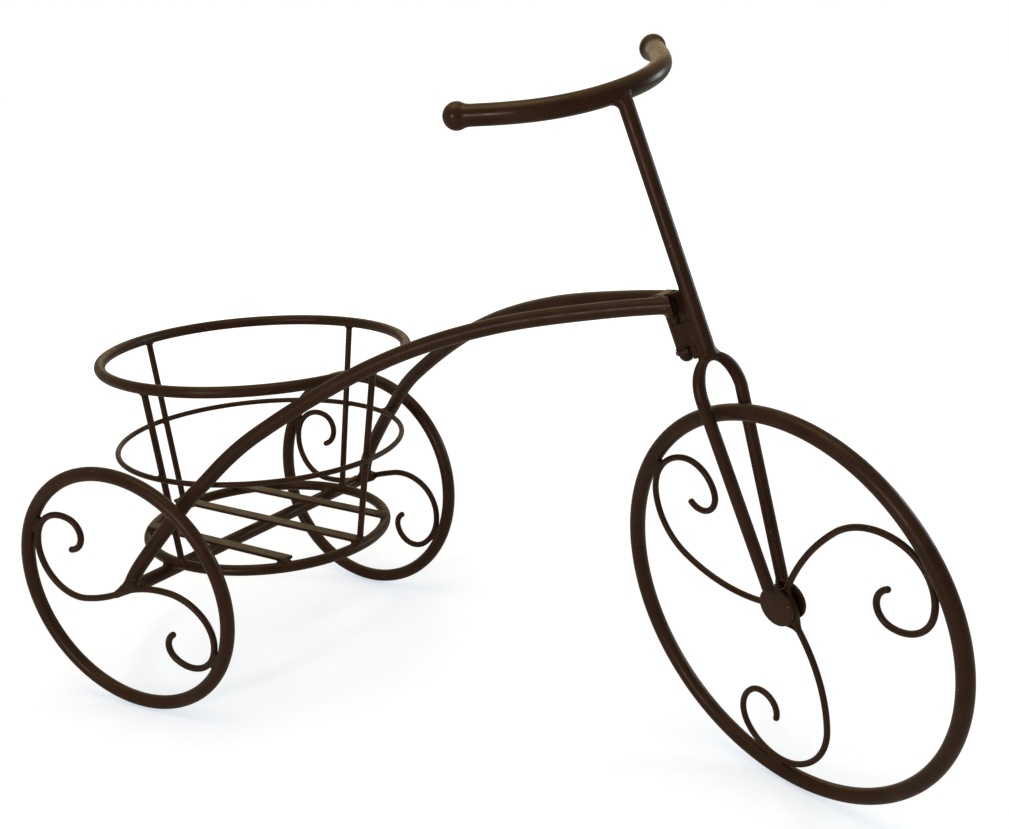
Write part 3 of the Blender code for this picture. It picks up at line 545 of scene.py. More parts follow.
def build_rear_wheel(side):
    place = REAR_WHEELS[side]
    rim = in_wheel(place, ring_of(REAR_WHEEL_RADIUS, 0.0, RIM_STEPS))
    add_rod(f"rear_rim_{side}", rim, RIM_RADIUS, "frame", TUBE_SIDES, True)
    halves = []
    for end in ("rear", "front"):
        heading, bends = REAR_SCROLLS[side, end]
        halves.append(bent_route((0.0, 0.0), math.radians(heading), bends))
    line = halves[0][::-1] + halves[1][1:]
    rounding = 0.8 * REAR_SCROLL_RADIUS
    add_rod(
        f"rear_scroll_{side}", in_wheel(place, line), REAR_SCROLL_RADIUS, "frame",
        roundings=(rounding, rounding),
    )


def build_frame_tube(side):
    """A frame tube, cut off flat at the wheel's scroll and open at the head."""
    node = f"frame_tube_{side}"
    knots = [Vector(knot) for knot in TUBE_KNOTS[side]]
    neighbours = zip(knots[:1] + knots[:-1], knots[1:] + knots[-1:])
    slopes = [(after - before) / 6 for before, after in neighbours]
    line = [Vector(TUBE_TAILS[side])]
    for index in range(len(knots) - 1):
        handle_out = knots[index] + slopes[index]
        handle_in = knots[index + 1] - slopes[index + 1]
        piece = interpolate_bezier(knots[index], handle_out, handle_in, knots[index + 1], KNOT_STEPS)
        line.extend(piece[1:])
    line.append(line[-1] + (line[-1] - line[-2]).normalized() * TUBE_NOSE)
    points = np.array([tuple(point) for point in line])
    along = lengths_along(points)
    near_head = np.clip(1 - (along[-1] - along) / HEAD_DROOP_REACH, 0.0, 1.0)
    near_tail = np.clip(1 - along / TAIL_LEAD_REACH, 0.0, 1.0)
    points[:, 2] -= HEAD_DROOP * near_head ** 2
    points[:, 0] += TAIL_LEAD[side] * near_tail ** 2
    ROUTES[node] = (points, np.full(len(points), TUBE_RADIUS))
    tangents, firsts, seconds = frames_along(points, False)
    past_scroll = scroll_plane(side)
    past_cut = head_cut_plane(side)
    past_under = scroll_underside(side)
    outward = SIDES[side] * np.array(REAR_WHEELS[side].col[1][:3])
    rings = []
    bores = []

    def flattened(section):
        return section - np.outer(np.maximum(past_scroll(section), 0.0), outward)

    for centre, first, second in zip(points, firsts, seconds):
        section = round_section(centre, TUBE_RADIUS, first, second, TUBE_SIDES)
        if past_under(section).max() < -0.0003 and past_cut(section).max() < -0.0005:
            rings.append(flattened(section))
            bores.append(round_section(centre, TUBE_RADIUS - TUBE_WALL, first, second, TUBE_SIDES))
    tail = flattened(onto_plane(rings[0], -tangents[0], past_under))
    outer, inner = (onto_plane(ring, tangents[-1], past_cut) for ring in (rings[-1], bores[-1]))
    new_piece(f"{node}_rod", *lofted([tail, *rings, outer, inner, bores[-1], bores[-4]]), "frame", (node,))


def scroll_plane(side):
    """How far points lie past the flat end of a frame tube at its wheel's scroll."""
    in_rear_wheel = local_to(REAR_WHEELS[side])
    gap = REAR_SCROLL_RADIUS + SEAT_GAP / 2
    return lambda points: SIDES[side] * in_rear_wheel(points)[:, 1] + gap


def scroll_underside(side):
    """How far points lie below the underside of a wheel's scroll at its hub."""
    rise = math.radians((REAR_SCROLLS[side, "front"][0] + REAR_SCROLLS[side, "rear"][0] - 180) / 2)
    in_rear_wheel = local_to(REAR_WHEELS[side])
    normal = (math.sin(rise), 0.0, -math.cos(rise))
    return lambda points: in_rear_wheel(points) @ normal - REAR_SCROLL_RADIUS - TAIL_DROP[side]


def head_cut_plane(side):
    """How far points lie past the slanted end of a frame tube at the head."""
    in_head = local_to(HEAD)
    normal = (math.sin(TUBE_CUT_ANGLE), -SIDES[side] * math.cos(TUBE_CUT_ANGLE), 0.0)
    return lambda points: in_head(points) @ normal


def onto_plane(section, direction, past):
    """A section slid along a direction until it lies in a plane."""
    slide = past(section + direction) - past(section)
    return section - np.outer(past(section) / slide, direction)


def build_basket():
    for ring, (centre, radius, rod_radius) in RINGS.items():
        place = shift(centre) @ turn(BASKET_ROLL, "X")
        points = moved(place, ring_of(radius, 0.0, RIM_STEPS))
        add_rod(f"basket_{ring}_ring", points, rod_radius, "frame", ROD_SIDES, True)
    for end, (foot, head) in UPRIGHTS.items():
        add_rod(f"basket_upright_{end}", straight(foot, head), UPRIGHT_RADIUS, "frame")
    for side, (_, length) in SLATS.items():
        build_slat(f"floor_slat_{side}", SLAT_PLACES[side], length)


def build_slat(node, place, length):
    """A flat bar whose long edges are rounded as rolled."""
    rounding = 0.0009
    edge = 0.0003
    station_step = 0.008
    half_width = SLAT_WIDTH / 2 - rounding
    half_height = SLAT_THICKNESS / 2 - rounding
    section = []
    for corner, (across, up) in enumerate(((1, 1), (-1, 1), (-1, -1), (1, -1))):
        for step in range(CAP_STEPS + 1):
            angle = math.pi / 2 * (corner + step / CAP_STEPS)
            section.append((
                across * half_width + rounding * math.cos(angle),
                up * half_height + rounding * math.sin(angle),
            ))
    steps = math.ceil(length / station_step)
    end_size = 1 - edge / half_width
    stations = [(-length / 2 + edge + (length - 2 * edge) * step / steps, 1.0) for step in range(steps + 1)]
    stations = [(-length / 2, end_size)] + stations + [(length / 2, end_size)]
    rings = [moved(place, [(along, size * y, size * z) for y, z in section]) for along, size in stations]
    new_piece(f"{node}_bar", *lofted(rings), "frame", (node,))


def build_fork():
    half_width = FORK_CROWN_WIDTH / 2
    shoulder = Vector((STEM_LEAD, half_width, -FORK_CROWN_HEIGHT))
    foot = Vector((HUB_LEAD, LEG_END_SPREAD, -FORK_LENGTH))
    along = (shoulder - foot).normalized()
    disc = Vector((HUB_DISC_AHEAD, 0.0, HUB_DISC_RISE))
    nearest = along.dot(disc)
    room = HUB_DISC_RADIUS + SEAT_GAP
    end = foot + along * (nearest + math.sqrt(room ** 2 - disc.length_squared + nearest ** 2) - LEG_LAP)
    end.y = LEG_END_SPREAD
    angles = math.pi * np.arange(ARCH_STEPS + 1) / ARCH_STEPS
    arch = [
        (STEM_LEAD, half_width * math.cos(angle), FORK_CROWN_HEIGHT * (math.sin(angle) - 1))
        for angle in angles
    ]
    widths = [1 - FORK_CROWN_SQUEEZE * math.sin(angle) ** 4 for angle in angles]
    leg = straight(end, arch[0])[:-1]
    other = leg[::-1] * np.array((1, -1, 1))
    points = np.concatenate((leg, np.array(arch), other))
    widths = [1.0] * len(leg) + widths + [1.0] * len(other)
    add_rod(
        "fork", moved(STEERING, points), FORK_RADIUS, "steering", ROD_SIDES,
        roundings=(0.0032, 0.0032), widths=widths,
    )


def handlebar_place(point, sign):
    sweep = Vector((-math.cos(HANDLEBAR_LIFT), 0.0, math.sin(HANDLEBAR_LIFT)))
    across = Vector((0.0, sign * point[0], 0.0))
    return turn(HANDLEBAR_ROLL, "X") @ turn(HANDLEBAR_YAW, "Z") @ (sweep * point[1] + across)


def build_handlebar():
    middle = Vector((STEM_LEAD - HANDLEBAR_SETBACK, HANDLEBAR_SHIFT, STEM_LENGTH))
    half = bent_route((0.0, 0.0), 0.0, HANDLEBAR_BENDS)
    left, right = ([middle + handlebar_place(point, sign) for point in half] for sign in (1, -1))
    line = moved(STEERING, right[::-1] + left[1:])
    add_rod("handlebar", line, HANDLEBAR_RADIUS, "steering", TUBE_SIDES, material=GRIP_PAINT)
    profile = [(POLE_RADIUS, BALL_RADIUS)]
    far = BALL_RADIUS + BALL_NECK
    turn_end = -math.acos((HANDLEBAR_RADIUS + 0.0001 + BALL_NECK) / far)
    for step in range(1, 29):
        angle = math.pi / 2 + (turn_end - math.pi / 2) * step / 28
        profile.append((BALL_RADIUS * math.cos(angle), BALL_RADIUS * math.sin(angle)))
    for step in range(1, 13):
        angle = math.pi + turn_end * (1 - step / 12)
        profile.append((
            far * math.cos(turn_end) + BALL_NECK * math.cos(angle),
            far * math.sin(turn_end) + BALL_NECK * math.sin(angle),
        ))
    last = profile[-1]
    profile.append((HANDLEBAR_RADIUS - 0.0004, last[1] - 0.0006))
    profile.append((POLE_RADIUS, last[1] - 0.0006))
    rings = [ring_of(*point) for point in profile]
    for side, sign in SIDES.items():
        direction = handlebar_place(BALL_ALONG, sign)
        place = shift(middle + handlebar_place(BALL_CENTRE, sign))
        place = STEERING @ place @ direction.to_track_quat("Z", "Y").to_matrix().to_4x4()
        node = f"handlebar_ball_{side}"
        new_piece(f"{node}_turned", *turned(rings, place), "steering", (node,), GRIP_PAINT)


def build_stem():
    foot = (STEM_LEAD, 0.0, 0.001)
    head = (STEM_LEAD, 0.0, STEM_LENGTH - HANDLEBAR_RADIUS + 0.0005)
    add_rod(
        "stem", moved(STEERING, straight(foot, head)), STEM_RADIUS, "steering", TUBE_SIDES,
        roundings=(0.0004, 0.0030),
    )


def build_hub():
    """Hub discs with soft edges and a faint crown."""
    edge = 0.0007
    back = 0.0003
    for side, sign in SIDES.items():
        outer = HUB_DISC_HALF
        profile = [(POLE_RADIUS, outer + 0.0002), (0.006, outer + 0.00015), (0.010, outer)]
        for step in range(CAP_STEPS + 1):
            angle = math.pi / 2 * (1 - step / CAP_STEPS)
            profile.append((
                HUB_DISC_RADIUS - edge + edge * math.cos(angle),
                outer - edge + edge * math.sin(angle),
            ))
        profile += [(HUB_DISC_RADIUS, back - outer), (HUB_DISC_RADIUS - back, -outer), (POLE_RADIUS, -outer)]
        place = HUB @ shift((HUB_DISC_AHEAD, sign * HUB_DISC_SPREAD, HUB_DISC_RISE))
        place = place @ turn(-sign * math.pi / 2, "X")
        node = f"hub_disc_{side}"
        rings = [ring_of(*point) for point in profile]
        new_piece(f"{node}_turned", *turned(rings, place), "steering", (node,))


def build_cap_nut():
    """A hexagon nut with chamfered corners and a domed, closed end."""
    sides = 96
    dome_steps = 12
    corner = NUT_APOTHEM / math.cos(math.pi / 6)
    levels = [
        (POLE_RADIUS, 0.0, False), (0.93 * NUT_APOTHEM, 0.0, False), (0.97 * corner, 0.0006, True),
        (corner, 0.0012, True), (corner, NUT_HEIGHT - 0.0012, True),
        (0.97 * corner, NUT_HEIGHT - 0.0005, True), (0.90 * NUT_APOTHEM, NUT_HEIGHT, False),
        (NUT_DOME_RADIUS, NUT_HEIGHT + 0.0001, False),
    ]
    for step in range(dome_steps + 1):
        angle = math.pi / 2 * step / dome_steps
        depth = NUT_HEIGHT + NUT_DOME_HEIGHT - NUT_DOME_RADIUS + NUT_DOME_RADIUS * math.sin(angle)
        levels.append((max(POLE_RADIUS, NUT_DOME_RADIUS * math.cos(angle)), depth, False))
    rings = []
    for limit, depth, hexagonal in levels:
        ring = ring_of(1.0, -depth, sides)
        for index, (x, y, z) in enumerate(ring):
            off = (index * 2 * math.pi / sides + math.pi / 6) % (math.pi / 3) - math.pi / 6
            radius = min(limit, NUT_APOTHEM / math.cos(off)) if hexagonal else limit
            ring[index] = (radius * x, radius * y, z)
        rings.append(ring)
    place = STEERING @ shift((0.0, 0.0, NUT_LEVEL))
    new_piece(
        "cap_nut_domed", *turned(rings, place), "steering", ("cap_nut",),
        FASTENER_PAINT, "fastener_paint",
    )


def build_front_wheel():
    rim = in_wheel(HUB, ring_of(FRONT_WHEEL_RADIUS, 0.0, RIM_STEPS))
    add_rod("front_rim", rim, RIM_RADIUS, "front_wheel", TUBE_SIDES, True)
    for number, (direction, reach, heading, bends) in enumerate(FRONT_SCROLLS, start=1):
        outward = Vector((math.cos(math.radians(direction)), math.sin(math.radians(direction))))
        inner = (reach - 0.0012) * outward
        line = [inner] + bent_route(reach * outward, math.radians(heading), bends)
        add_rod(
            f"front_scroll_{number}", in_wheel(HUB, line), FRONT_SCROLL_RADIUS,
            "front_wheel", roundings=(0.0004, 0.8 * FRONT_SCROLL_RADIUS),
        )


# Welds

def rod_field(node, points, centre, reach, cut=None):
    """Distance from points to the surface of a rod near a joint."""
    line, radii = ROUTES[node]
    near = np.linalg.norm((line[:-1] + line[1:]) / 2 - centre, axis=1) < reach
    field = np.full(len(points), 1.0)
    for index in np.flatnonzero(near):
        start = line[index]
        run = line[index + 1] - start
        share = np.clip((points - start) @ run / run.dot(run), 0.0, 1.0)
        distance = np.linalg.norm(points - start - share[:, None] * run, axis=1)
        widening = radii[index + 1] - radii[index]
        field = np.minimum(field, distance - radii[index] - share * widening)
    return field if cut is None else np.maximum(field, cut(points))


def box_shape(place, middle, size):
    """Distance from points to a box about a point of the place."""
    to_box = local_to(place @ shift(middle))

    def field(points, centre, reach):
        local = np.abs(to_box(points)) - np.array(size) / 2
        outside = np.linalg.norm(np.maximum(local, 0.0), axis=1)
        return outside + np.minimum(local.max(axis=1), 0.0)

    return field


def disc_shape(place, radius, low, high):
    """Distance from points to a disc about the place's Z axis."""
    to_disc = local_to(place)

    def field(points, centre, reach):
        local = to_disc(points)
        across = np.hypot(local[:, 0], local[:, 1]) - radius
        along = np.maximum(local[:, 2] - high, low - local[:, 2])
        outside = np.hypot(np.maximum(across, 0.0), np.maximum(along, 0.0))
        return outside + np.minimum(np.maximum(across, along), 0.0)

    return field


def rod_shape(node, cut=None):
    return lambda points, centre, reach: rod_field(node, points, centre, reach, cut)


CORNERS = list(itertools.product((0, 1), repeat=3))
EDGES = [
    (one, two) for one, two in itertools.combinations(CORNERS, 2)
    if sum(abs(a - b) for a, b in zip(one, two)) == 1
]


def surface_net(field, low, step):
    """Vertices and quads of the surface where a gridded field changes sign."""
    shape = np.array(field.shape) - 1
    total = np.zeros((*shape, 3))
    count = np.zeros(shape)

    def corner(offset):
        i, j, k = offset
        return field[i:i + shape[0], j:j + shape[1], k:k + shape[2]]

    for one, two in EDGES:
        first, second = corner(one), corner(two)
        crossing = (first < 0) != (second < 0)
        share = np.where(crossing, first / np.where(crossing, first - second, 1.0), 0.0)
        total += crossing[..., None] * (np.array(one) + share[..., None] * np.subtract(two, one))
        count += crossing
    cells = count > 0
    index = np.full(shape, -1)
    index[cells] = np.arange(cells.sum())
    vertices = low + step * (np.argwhere(cells) + total[cells] / count[cells][:, None])
    faces = []
    inside = field < 0
    for axis in range(3):
        u = (axis + 1) % 3
        v = (axis + 2) % 3
        near = np.take(inside, range(field.shape[axis] - 1), axis)
        far = np.take(inside, range(1, field.shape[axis]), axis)
        spots = np.argwhere(near != far)
        keep = (spots[:, u] > 0) & (spots[:, v] > 0)
        keep &= (spots[:, u] < shape[u]) & (spots[:, v] < shape[v])
        spots = spots[keep]
        quads = []
        for back_u, back_v in ((1, 1), (0, 1), (0, 0), (1, 0)):
            cell = spots.copy()
            cell[:, u] -= back_u
            cell[:, v] -= back_v
            quads.append(index[tuple(cell.T)])
        quads = np.stack(quads, axis=1)
        flip = ~near[tuple(spots.T)]
        quads[flip] = quads[flip][:, ::-1]
        faces.append(quads)
    return vertices, np.concatenate(faces)


def ripple(points, size):
    """A smooth uneven field between about -1 and 1."""
    waves = np.array(((2.1, 1.3, -0.7), (-0.9, 2.3, 1.6), (1.2, -1.1, 2.5)))
    return np.sin(points / size @ waves.T + (0.4, 1.9, 3.1)).mean(axis=1)


def weld_mesh(kind, shapes, centre, *limits, room=None):
    """The weld between shapes around a point: where the rounded union of them stands proud."""
    reach, fillet, bead, spread = WELDS[kind]
    reach = reach or room
    centre = np.array(centre)
    count = math.ceil(2 * reach / WELD_STEP) + 1
    low = centre - WELD_STEP * (count - 1) / 2
    axes = [low[axis] + WELD_STEP * np.arange(count) for axis in range(3)]
    grid = np.stack(np.meshgrid(*axes, indexing="ij"), axis=-1).reshape(-1, 3)
    fields = np.stack([shape(grid, centre, 2 * reach) for shape in shapes])
    ordered = np.sort(fields, axis=0)
    joined = fields[0]
    for field in fields[1:]:
        overlap = np.maximum(fillet - np.abs(joined - field), 0.0) / fillet
        joined = np.minimum(joined, field) - overlap ** 2 * fillet / 4
    away = np.clip(ordered[1] / spread, 0.0, 1.0)
    height = bead * (1 + 0.8 * ripple(grid, 0.0016)) * (1 - away) - 0.00012 * away
    walls = [ordered[1] - spread, -ordered[0] - WELD_DEPTH]
    walls.append(np.linalg.norm(grid - centre, axis=1) - reach + 2 * WELD_STEP)
    walls += [limit(grid) for limit in limits]
    weld = np.maximum.reduce([joined - height, *walls])
    return surface_net(weld.reshape(count, count, count), low, WELD_STEP)


def nearest_joint(first, second, hint, span=0.03):
    """The point between two rods where they come closest, near a hint."""
    lines = []
    for node in (first, second):
        line, radii = ROUTES[node]
        near = np.linalg.norm(line - hint, axis=1) < span
        lines.append((line[near], radii[near]))
    (starts, start_radii), (ends, end_radii) = lines
    gaps = np.linalg.norm(starts[:, None] - ends[None], axis=2)
    one, two = np.unravel_index(gaps.argmin(), gaps.shape)
    gap = gaps.min()
    share = (start_radii[one] + max(gap - start_radii[one] - end_radii[two], 0) / 2) / gap
    return starts[one] + (ends[two] - starts[one]) * min(share, 1.0)


def add_welds(name, body, meshes):
    starts = np.cumsum([0] + [len(vertices) for vertices, _ in meshes])
    vertices = np.concatenate([mesh[0] for mesh in meshes])
    faces = np.concatenate([mesh[1] + start for mesh, start in zip(meshes, starts)])
    new_piece(name, vertices, faces, body, (), WELD_PAINT)


def rods_weld(kind, first, second, hint):
    """A weld between two rods where they meet near a hint."""
    centre = nearest_joint(first, second, np.array(hint))
    thinner = min(ROUTES[first][1].min(), ROUTES[second][1].min())
    room = thinner + WELDS[kind][3] + 0.004
    return weld_mesh(kind, [rod_shape(first), rod_shape(second)], centre, room=room)


def rear_wheel_welds(side):
    """The scroll to the rim at both bends, and to the end of the frame tube."""
    scroll = f"rear_scroll_{side}"
    tube = f"frame_tube_{side}"
    place = REAR_WHEELS[side]
    sign = SIDES[side]
    meshes = []
    line = ROUTES[scroll][0]
    local = moved(place.inverted(), line)
    distance = np.hypot(local[:, 0], local[:, 2])
    for half in (local[:, 0] < 0, local[:, 0] > 0):
        point = line[np.where(half, distance, 0).argmax()]
        meshes.append(rods_weld("scroll to rim", scroll, f"rear_rim_{side}", point))
    past_scroll = scroll_plane(side)
    under = scroll_underside(side)
    axle_end = sign * AXLE_END_POINTS[side][1] + 0.001
    tail = rod_shape(tube, lambda points: np.maximum(past_scroll(points), under(points)))
    axle = rod_shape("rear_axle", lambda points: sign * points[:, 1] - axle_end)
    centre = np.array(place.translation) - sign * 0.003 * np.array(place.col[1][:3])
    meshes.append(weld_mesh(
        f"{side} hub", [tail, rod_shape(scroll), axle], centre, lambda points: under(points) - 0.0004,
    ))
    meshes.append(weld_mesh("axle", [axle, tail], nearest_joint("rear_axle", tube, AXLE_END_POINTS[side])))
    add_welds(f"rear_wheel_{side}_welds", "frame", meshes)


def basket_welds():
    meshes = []
    bars = {
        side: box_shape(SLAT_PLACES[side], (0.0, 0.0, 0.0), (length, SLAT_WIDTH, SLAT_THICKNESS))
        for side, (_, length) in SLATS.items()
    }
    for end, (foot, head) in UPRIGHTS.items():
        upright = f"basket_upright_{end}"
        meshes.append(rods_weld("upright", upright, "basket_top_ring", head))
        middle = Vector(foot).lerp(Vector(head), 0.51)
        meshes.append(rods_weld("middle ring", upright, "basket_middle_ring", middle))
        if end in ("left", "right"):
            meshes.append(rods_weld("upright", upright, "basket_lower_ring", foot))
        else:
            meshes.append(weld_mesh("upright to slat", [rod_shape(upright), bars["middle"]], foot))
    ring = ROUTES["basket_lower_ring"][0]
    for side, (_, length) in SLATS.items():
        for sign in (-1, 1):
            tip = SLAT_PLACES[side] @ Vector((sign * (length / 2 - 0.004), 0.0, -SLAT_THICKNESS / 2))
            tip = ring[np.linalg.norm(ring - np.array(tip), axis=1).argmin()]
            tip = tip + np.array((0.0, 0.0, 0.005))
            meshes.append(weld_mesh("slat", [rod_shape("basket_lower_ring"), bars[side]], tip))
    add_welds("basket_welds", "frame", meshes)
    meshes = []
    for side, sign in SIDES.items():
        meshes.append(rods_weld(
            "basket seat", "basket_middle_ring", f"frame_tube_{side}", TUBE_KNOTS[side][3],
        ))
        crossing = Vector((PLANTER.translation.x, sign * 0.1136, REAR_HUB_HEIGHT + 0.006))
        meshes.append(rods_weld("basket seat", "basket_lower_ring", "rear_axle", crossing))
    add_welds("basket_seat_welds", "frame", meshes)


def head_welds():
    """Sleeve to frame tubes, kept clear of the lugs and the spacer that turn beside it."""
    in_steering = local_to(STEERING)
    in_head = local_to(HEAD)

    def between_levels(points):
        height = in_steering(points)[:, 2]
        return np.maximum(SLEEVE_BOTTOM + 0.0004 - height, height - SLEEVE_TOP + 0.0003)

    def clear_of_web(points):
        local = in_head(points)
        ahead = np.abs(np.arctan2(local[:, 1], local[:, 0])) < math.radians(54)
        return np.hypot(local[:, 0], local[:, 1]) - np.where(ahead, 0.0080, 0.03)

    def clear_of_lug(points):
        local = in_head(points)
        near = np.hypot(local[:, 0], local[:, 1]) - 0.0075
        return -np.maximum(near, local[:, 2] - LUG_LEVEL - LUG_THICKNESS - 0.0004)

    tubes = [rod_shape(f"frame_tube_{side}", head_cut_plane(side)) for side in SIDES]
    sleeve = disc_shape(STEERING, SLEEVE_RADIUS, SLEEVE_BOTTOM, SLEEVE_TOP)
    centre = np.array(STEERING @ Vector((0.0, 0.0, 0.041))) - 0.004 * np.array(HEAD.col[0][:3])
    meshes = [weld_mesh("sleeve", tubes + [sleeve], centre, between_levels, clear_of_web)]
    centre = STEERING.translation + Vector((-0.0212, 0.0, 0.0486))
    bridge = box_shape(Matrix.Identity(4), centre, (0.0062, 0.0215, 0.0011))
    meshes.append(weld_mesh("bridge", tubes + [bridge], centre, clear_of_lug))
    add_welds("head_sleeve_welds", "frame", meshes)


def steering_welds():
    in_steering = local_to(STEERING)
    in_hub = local_to(HUB)
    stem = rod_shape("stem")
    fork = rod_shape("fork")
    meshes = []

    def weld(kind, shapes, ahead, height, *limits):
        centre = STEERING @ Vector((ahead, 0.0, height))
        meshes.append(weld_mesh(kind, shapes, centre, *limits))

    def plate(ahead, low, high, length, width):
        return box_shape(STEERING, (ahead, 0.0, (low + high) / 2), (length, width, high - low))

    def stem_head(points, centre, reach):
        """The stem with a soft end, sunk into the handlebar's side."""
        side = rod_field("stem", points, centre, reach + 0.01)
        end = in_steering(points)[:, 2] - STEM_LENGTH + HANDLEBAR_RADIUS - STEM_SINK
        overlap = np.maximum(STEM_SOFTNESS - np.abs(side - end), 0.0) / STEM_SOFTNESS
        return np.maximum(side, end) + overlap ** 2 * STEM_SOFTNESS / 4

    def short_of(limit, axis=2):
        return lambda points: limit - in_steering(points)[:, axis]

    def past(limit, axis=2):
        return lambda points: in_steering(points)[:, axis] - limit

    def clear_of_nut(points):
        local = in_steering(points)
        return 0.0086 - np.hypot(local[:, 0], local[:, 1])

    above_crown = short_of(0.0004)
    stem_back = STEM_LEAD - STEM_RADIUS
    for level in (LUG_LEVEL, LOWER_LUG_LEVEL):
        lug = plate(STEM_LEAD / 2, level, level + LUG_THICKNESS, STEM_LEAD, 0.0062)
        weld("lug", [lug, stem], stem_back, level + LUG_THICKNESS / 2, short_of(0.0140, axis=0))
    stem_foot = rod_shape("stem", short_of(0.001))
    weld("stem foot", [stem_foot, fork], STEM_LEAD, 0.004, above_crown)
    # The far side of the weld at the handlebar is ground down to the stem
    ground = past(STEM_RADIUS + 0.0003, axis=1)
    bar = rod_shape("handlebar")
    weld("stem head", [stem_head, bar], STEM_LEAD, STEM_LENGTH - HANDLEBAR_RADIUS, ground)
    web = plate(0.0132, SPACER_TOP - 0.001, LUG_LEVEL, 0.0084, 0.0060)
    weld("web", [web, stem], stem_back, 0.040, clear_of_nut)
    filling = plate(0.0105, LOWER_LUG_LEVEL + 0.002, SPACER_TOP - 0.0008, 0.0150, 0.0092)
    spacer = disc_shape(STEERING, SLEEVE_RADIUS, SPACER_BOTTOM, SPACER_TOP)
    weld("spacer", [filling, spacer, stem], 0.0115, (SPACER_TOP + SPACER_BOTTOM) / 2, past(SPACER_TOP))
    gusset = plate(0.0140, 0.0012, 0.0116, 0.0090, 0.0066)
    weld("gusset", [gusset, stem, fork], stem_back - 0.001, 0.0070, clear_of_nut, above_crown)
    for side, sign in SIDES.items():
        place = HUB @ shift((HUB_DISC_AHEAD, sign * HUB_DISC_SPREAD, HUB_DISC_RISE))
        place = place @ turn(math.pi / 2, "X")
        disc = disc_shape(place, HUB_DISC_RADIUS, -HUB_DISC_HALF, HUB_DISC_HALF)

        def clear_of_wheel(points, sign=sign):
            local = in_hub(points)
            near_axle = 0.0124 - np.hypot(local[:, 0], local[:, 2])
            across = sign * local[:, 1]
            return np.maximum(0.0029 - across, np.minimum(near_axle, 0.0057 - across))

        leg_end = ROUTES["fork"][0][0 if sign > 0 else -1]
        meshes.append(weld_mesh("disc", [fork, disc], leg_end, clear_of_wheel))
    add_welds("steering_welds", "steering", meshes)


def front_wheel_welds():
    in_hub = local_to(HUB)
    about_pin = HUB @ turn(math.pi / 2, "X")
    barrel = disc_shape(about_pin, BARREL_RADIUS, -BARREL_HALF, BARREL_HALF)
    flange = disc_shape(about_pin, HUB_FLANGE_RADIUS, -FLANGE_HALF, FLANGE_HALF)
    between = FLANGE_HALF + 0.0002
    meshes = []

    def clear_of_legs(points):
        local = in_hub(points)
        out = np.hypot(local[:, 0], local[:, 2])
        across = np.abs(local[:, 1])
        return np.maximum(across - BARREL_HALF, np.minimum(across - between, out - BARREL_RADIUS - 0.0001))

    def between_legs(points):
        return np.abs(in_hub(points)[:, 1]) - between

    def flared(scroll):
        def field(points, centre, reach):
            local = in_hub(points)
            out = np.hypot(local[:, 0], local[:, 2])
            share = np.clip((HUB_FLANGE_RADIUS + SPOKE_FLARE_LENGTH - out) / SPOKE_FLARE_LENGTH, 0.0, 1.0)
            return 0.8 * (rod_field(scroll, points, centre, reach) - SPOKE_FLARE * share ** 2)
        return field

    for number in (1, 2, 3):
        scroll = f"front_scroll_{number}"
        line = ROUTES[scroll][0]
        local = in_hub(line)
        point = line[np.hypot(local[:, 0], local[:, 2]).argmax()]
        meshes.append(rods_weld("scroll to rim", scroll, "front_rim", point))
        meshes.append(weld_mesh("spoke", [flared(scroll), flange], line[2], between_legs))
    meshes.append(weld_mesh("barrel", [barrel, flange], HUB.translation, clear_of_legs))
    add_welds("front_wheel_welds", "front_wheel", meshes)


for wheel_side in SIDES:
    build_rear_wheel(wheel_side)
    build_frame_tube(wheel_side)
AXLE = moved(PLANTER, straight(*((0.0, end, REAR_HUB_HEIGHT) for end in AXLE_ENDS)))
AXLE_END_POINTS = {"right": AXLE[2], "left": AXLE[-3]}
add_rod("rear_axle", AXLE, AXLE_RADIUS, "frame", TUBE_SIDES)
build_basket()
build_fork()
build_handlebar()
build_stem()
build_hub()
build_cap_nut()
build_front_wheel()
for wheel_side in SIDES:
    rear_wheel_welds(wheel_side)
basket_welds()
head_welds()
steering_welds()
front_wheel_welds()

PLATES = ("upper_lug", "lower_lug", "lug_web", "crown_gusset")
for node in ("head_sleeve", "spacer", *PLATES, "front_hub_barrel"):
    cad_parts[node].material_slots[0].material = PAINT
for node in ("steering_bolt", "bolt_washer", "front_axle_pin"):
    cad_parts[node].material_slots[0].material = FASTENER_PAINT


# Floor, lights and camera

def seen_rays(tree):
    """One for camera and transmission rays, and zero for all others."""
    path = add(tree, "LightPath").outputs
    rays = {0: path["Is Camera Ray"], 1: path["Is Transmission Ray"]}
    return add(tree, "Math", rays, operation="MAXIMUM").outputs[0]


def floor_material():
    """Pale floor that shows white to the camera and keeps the object's shadow."""
    material, tree = new_material("pale_floor")
    diffuse = add(tree, "BsdfDiffuse", {"Color": (0.82, 0.82, 0.82, 1.0)})
    place = add(tree, "TexCoord").outputs["Object"]
    distance = add(tree, "VectorMath", {0: place}, operation="LENGTH").outputs["Value"]
    strength = product(tree, seen_rays(tree), mapped(tree, distance, 0.7, 2.2, 0.66, 1.2))
    glow = add(tree, "Emission", {"Color": (0.80, 0.89, 1.0, 1.0), "Strength": strength})
    both = add(tree, "AddShader", {0: diffuse.outputs[0], 1: glow.outputs[0]})
    add(tree, "OutputMaterial", {"Surface": both.outputs[0]})
    return material


def build_floor():
    size = 12.0
    level = -0.0003
    mesh = bpy.data.meshes.new("floor")
    corners = [(x * size, y * size, level) for x, y in ((-1, -1), (1, -1), (1, 1), (-1, 1))]
    mesh.from_pydata(corners, [], [(0, 1, 2, 3)])
    mesh.materials.append(floor_material())
    floor = new_object("floor", mesh)


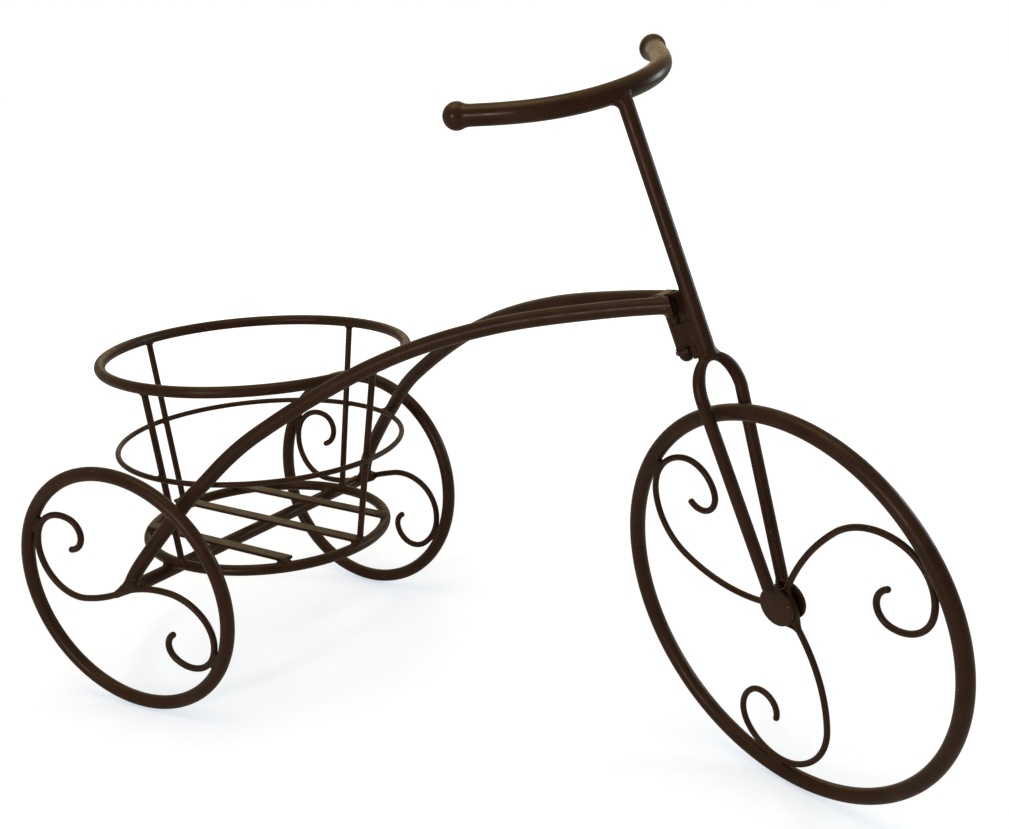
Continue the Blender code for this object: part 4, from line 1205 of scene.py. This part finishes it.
def build_world():
    world = bpy.data.worlds.new("studio")
    bpy.context.scene.world = world
    world.use_nodes = True
    tree = world.node_tree
    tree.nodes.clear()
    soft = add(tree, "Background", {"Color": (1.0, 0.86, 0.66, 1.0), "Strength": 0.34})
    white = add(tree, "Background", {"Color": (1.0, 1.0, 1.0, 1.0), "Strength": 1.0})
    mix = add(tree, "MixShader", {0: seen_rays(tree), 1: soft.outputs[0], 2: white.outputs[0]})
    add(tree, "OutputWorld", {"Surface": mix.outputs[0]})


def add_area_light(name, place, target, size, watts, colour):
    light = bpy.data.lights.new(name, "AREA")
    light.shape = "RECTANGLE"
    light.size, light.size_y = size
    light.energy = watts
    light.color = colour
    lamp = new_object(name, light)
    lamp.location = place
    lamp.rotation_euler = (Vector(target) - Vector(place)).to_track_quat("-Z", "Y").to_euler()


def build_camera():
    """The photograph's camera as fitted, with the small shift that its framing needs."""
    azimuth, elevation, tilt = (math.radians(angle) for angle in (36.565, 20.017, -3.093))
    place = (0.578446, -0.839851, 0.581563)
    width, height = 1009, 829
    focal_pixels = 1289.09
    middle = (447.182, 491.67)
    data = bpy.data.cameras.new("camera")
    data.sensor_width = 36.0
    data.lens = focal_pixels * data.sensor_width / width
    data.shift_x = (width / 2 - middle[0]) / width
    data.shift_y = (middle[1] - height / 2) / width
    data.clip_start = 0.01
    data.clip_end = 50.0
    camera = new_object("camera", data)
    facing = turn(azimuth, "Z") @ turn(math.pi / 2 - elevation, "X") @ turn(tilt, "Z")
    camera.matrix_world = shift(place) @ facing
    bpy.context.scene.camera = camera


build_floor()
build_world()
MIDDLE = (0.0, 0.0, 0.25)
add_area_light("overhead", (-0.3, -0.3, 2.6), MIDDLE, (1.5, 1.5), 13.0, (1.0, 0.86, 0.60))
add_area_light("window", (0.0, -1.95, 0.62), MIDDLE, (0.20, 0.26), 8.5, (1.0, 0.92, 0.95))
add_area_light("back", (-1.2, 1.7, 1.15), MIDDLE, (2.0, 1.1), 5.0, (1.0, 0.78, 0.42))
add_area_light("side", (1.1, 1.7, 0.75), (0.1, 0.0, 0.35), (0.6, 0.7), 9.0, (0.72, 0.90, 1.0))
build_camera()
bpy.context.scene.view_settings.view_transform = "Standard"
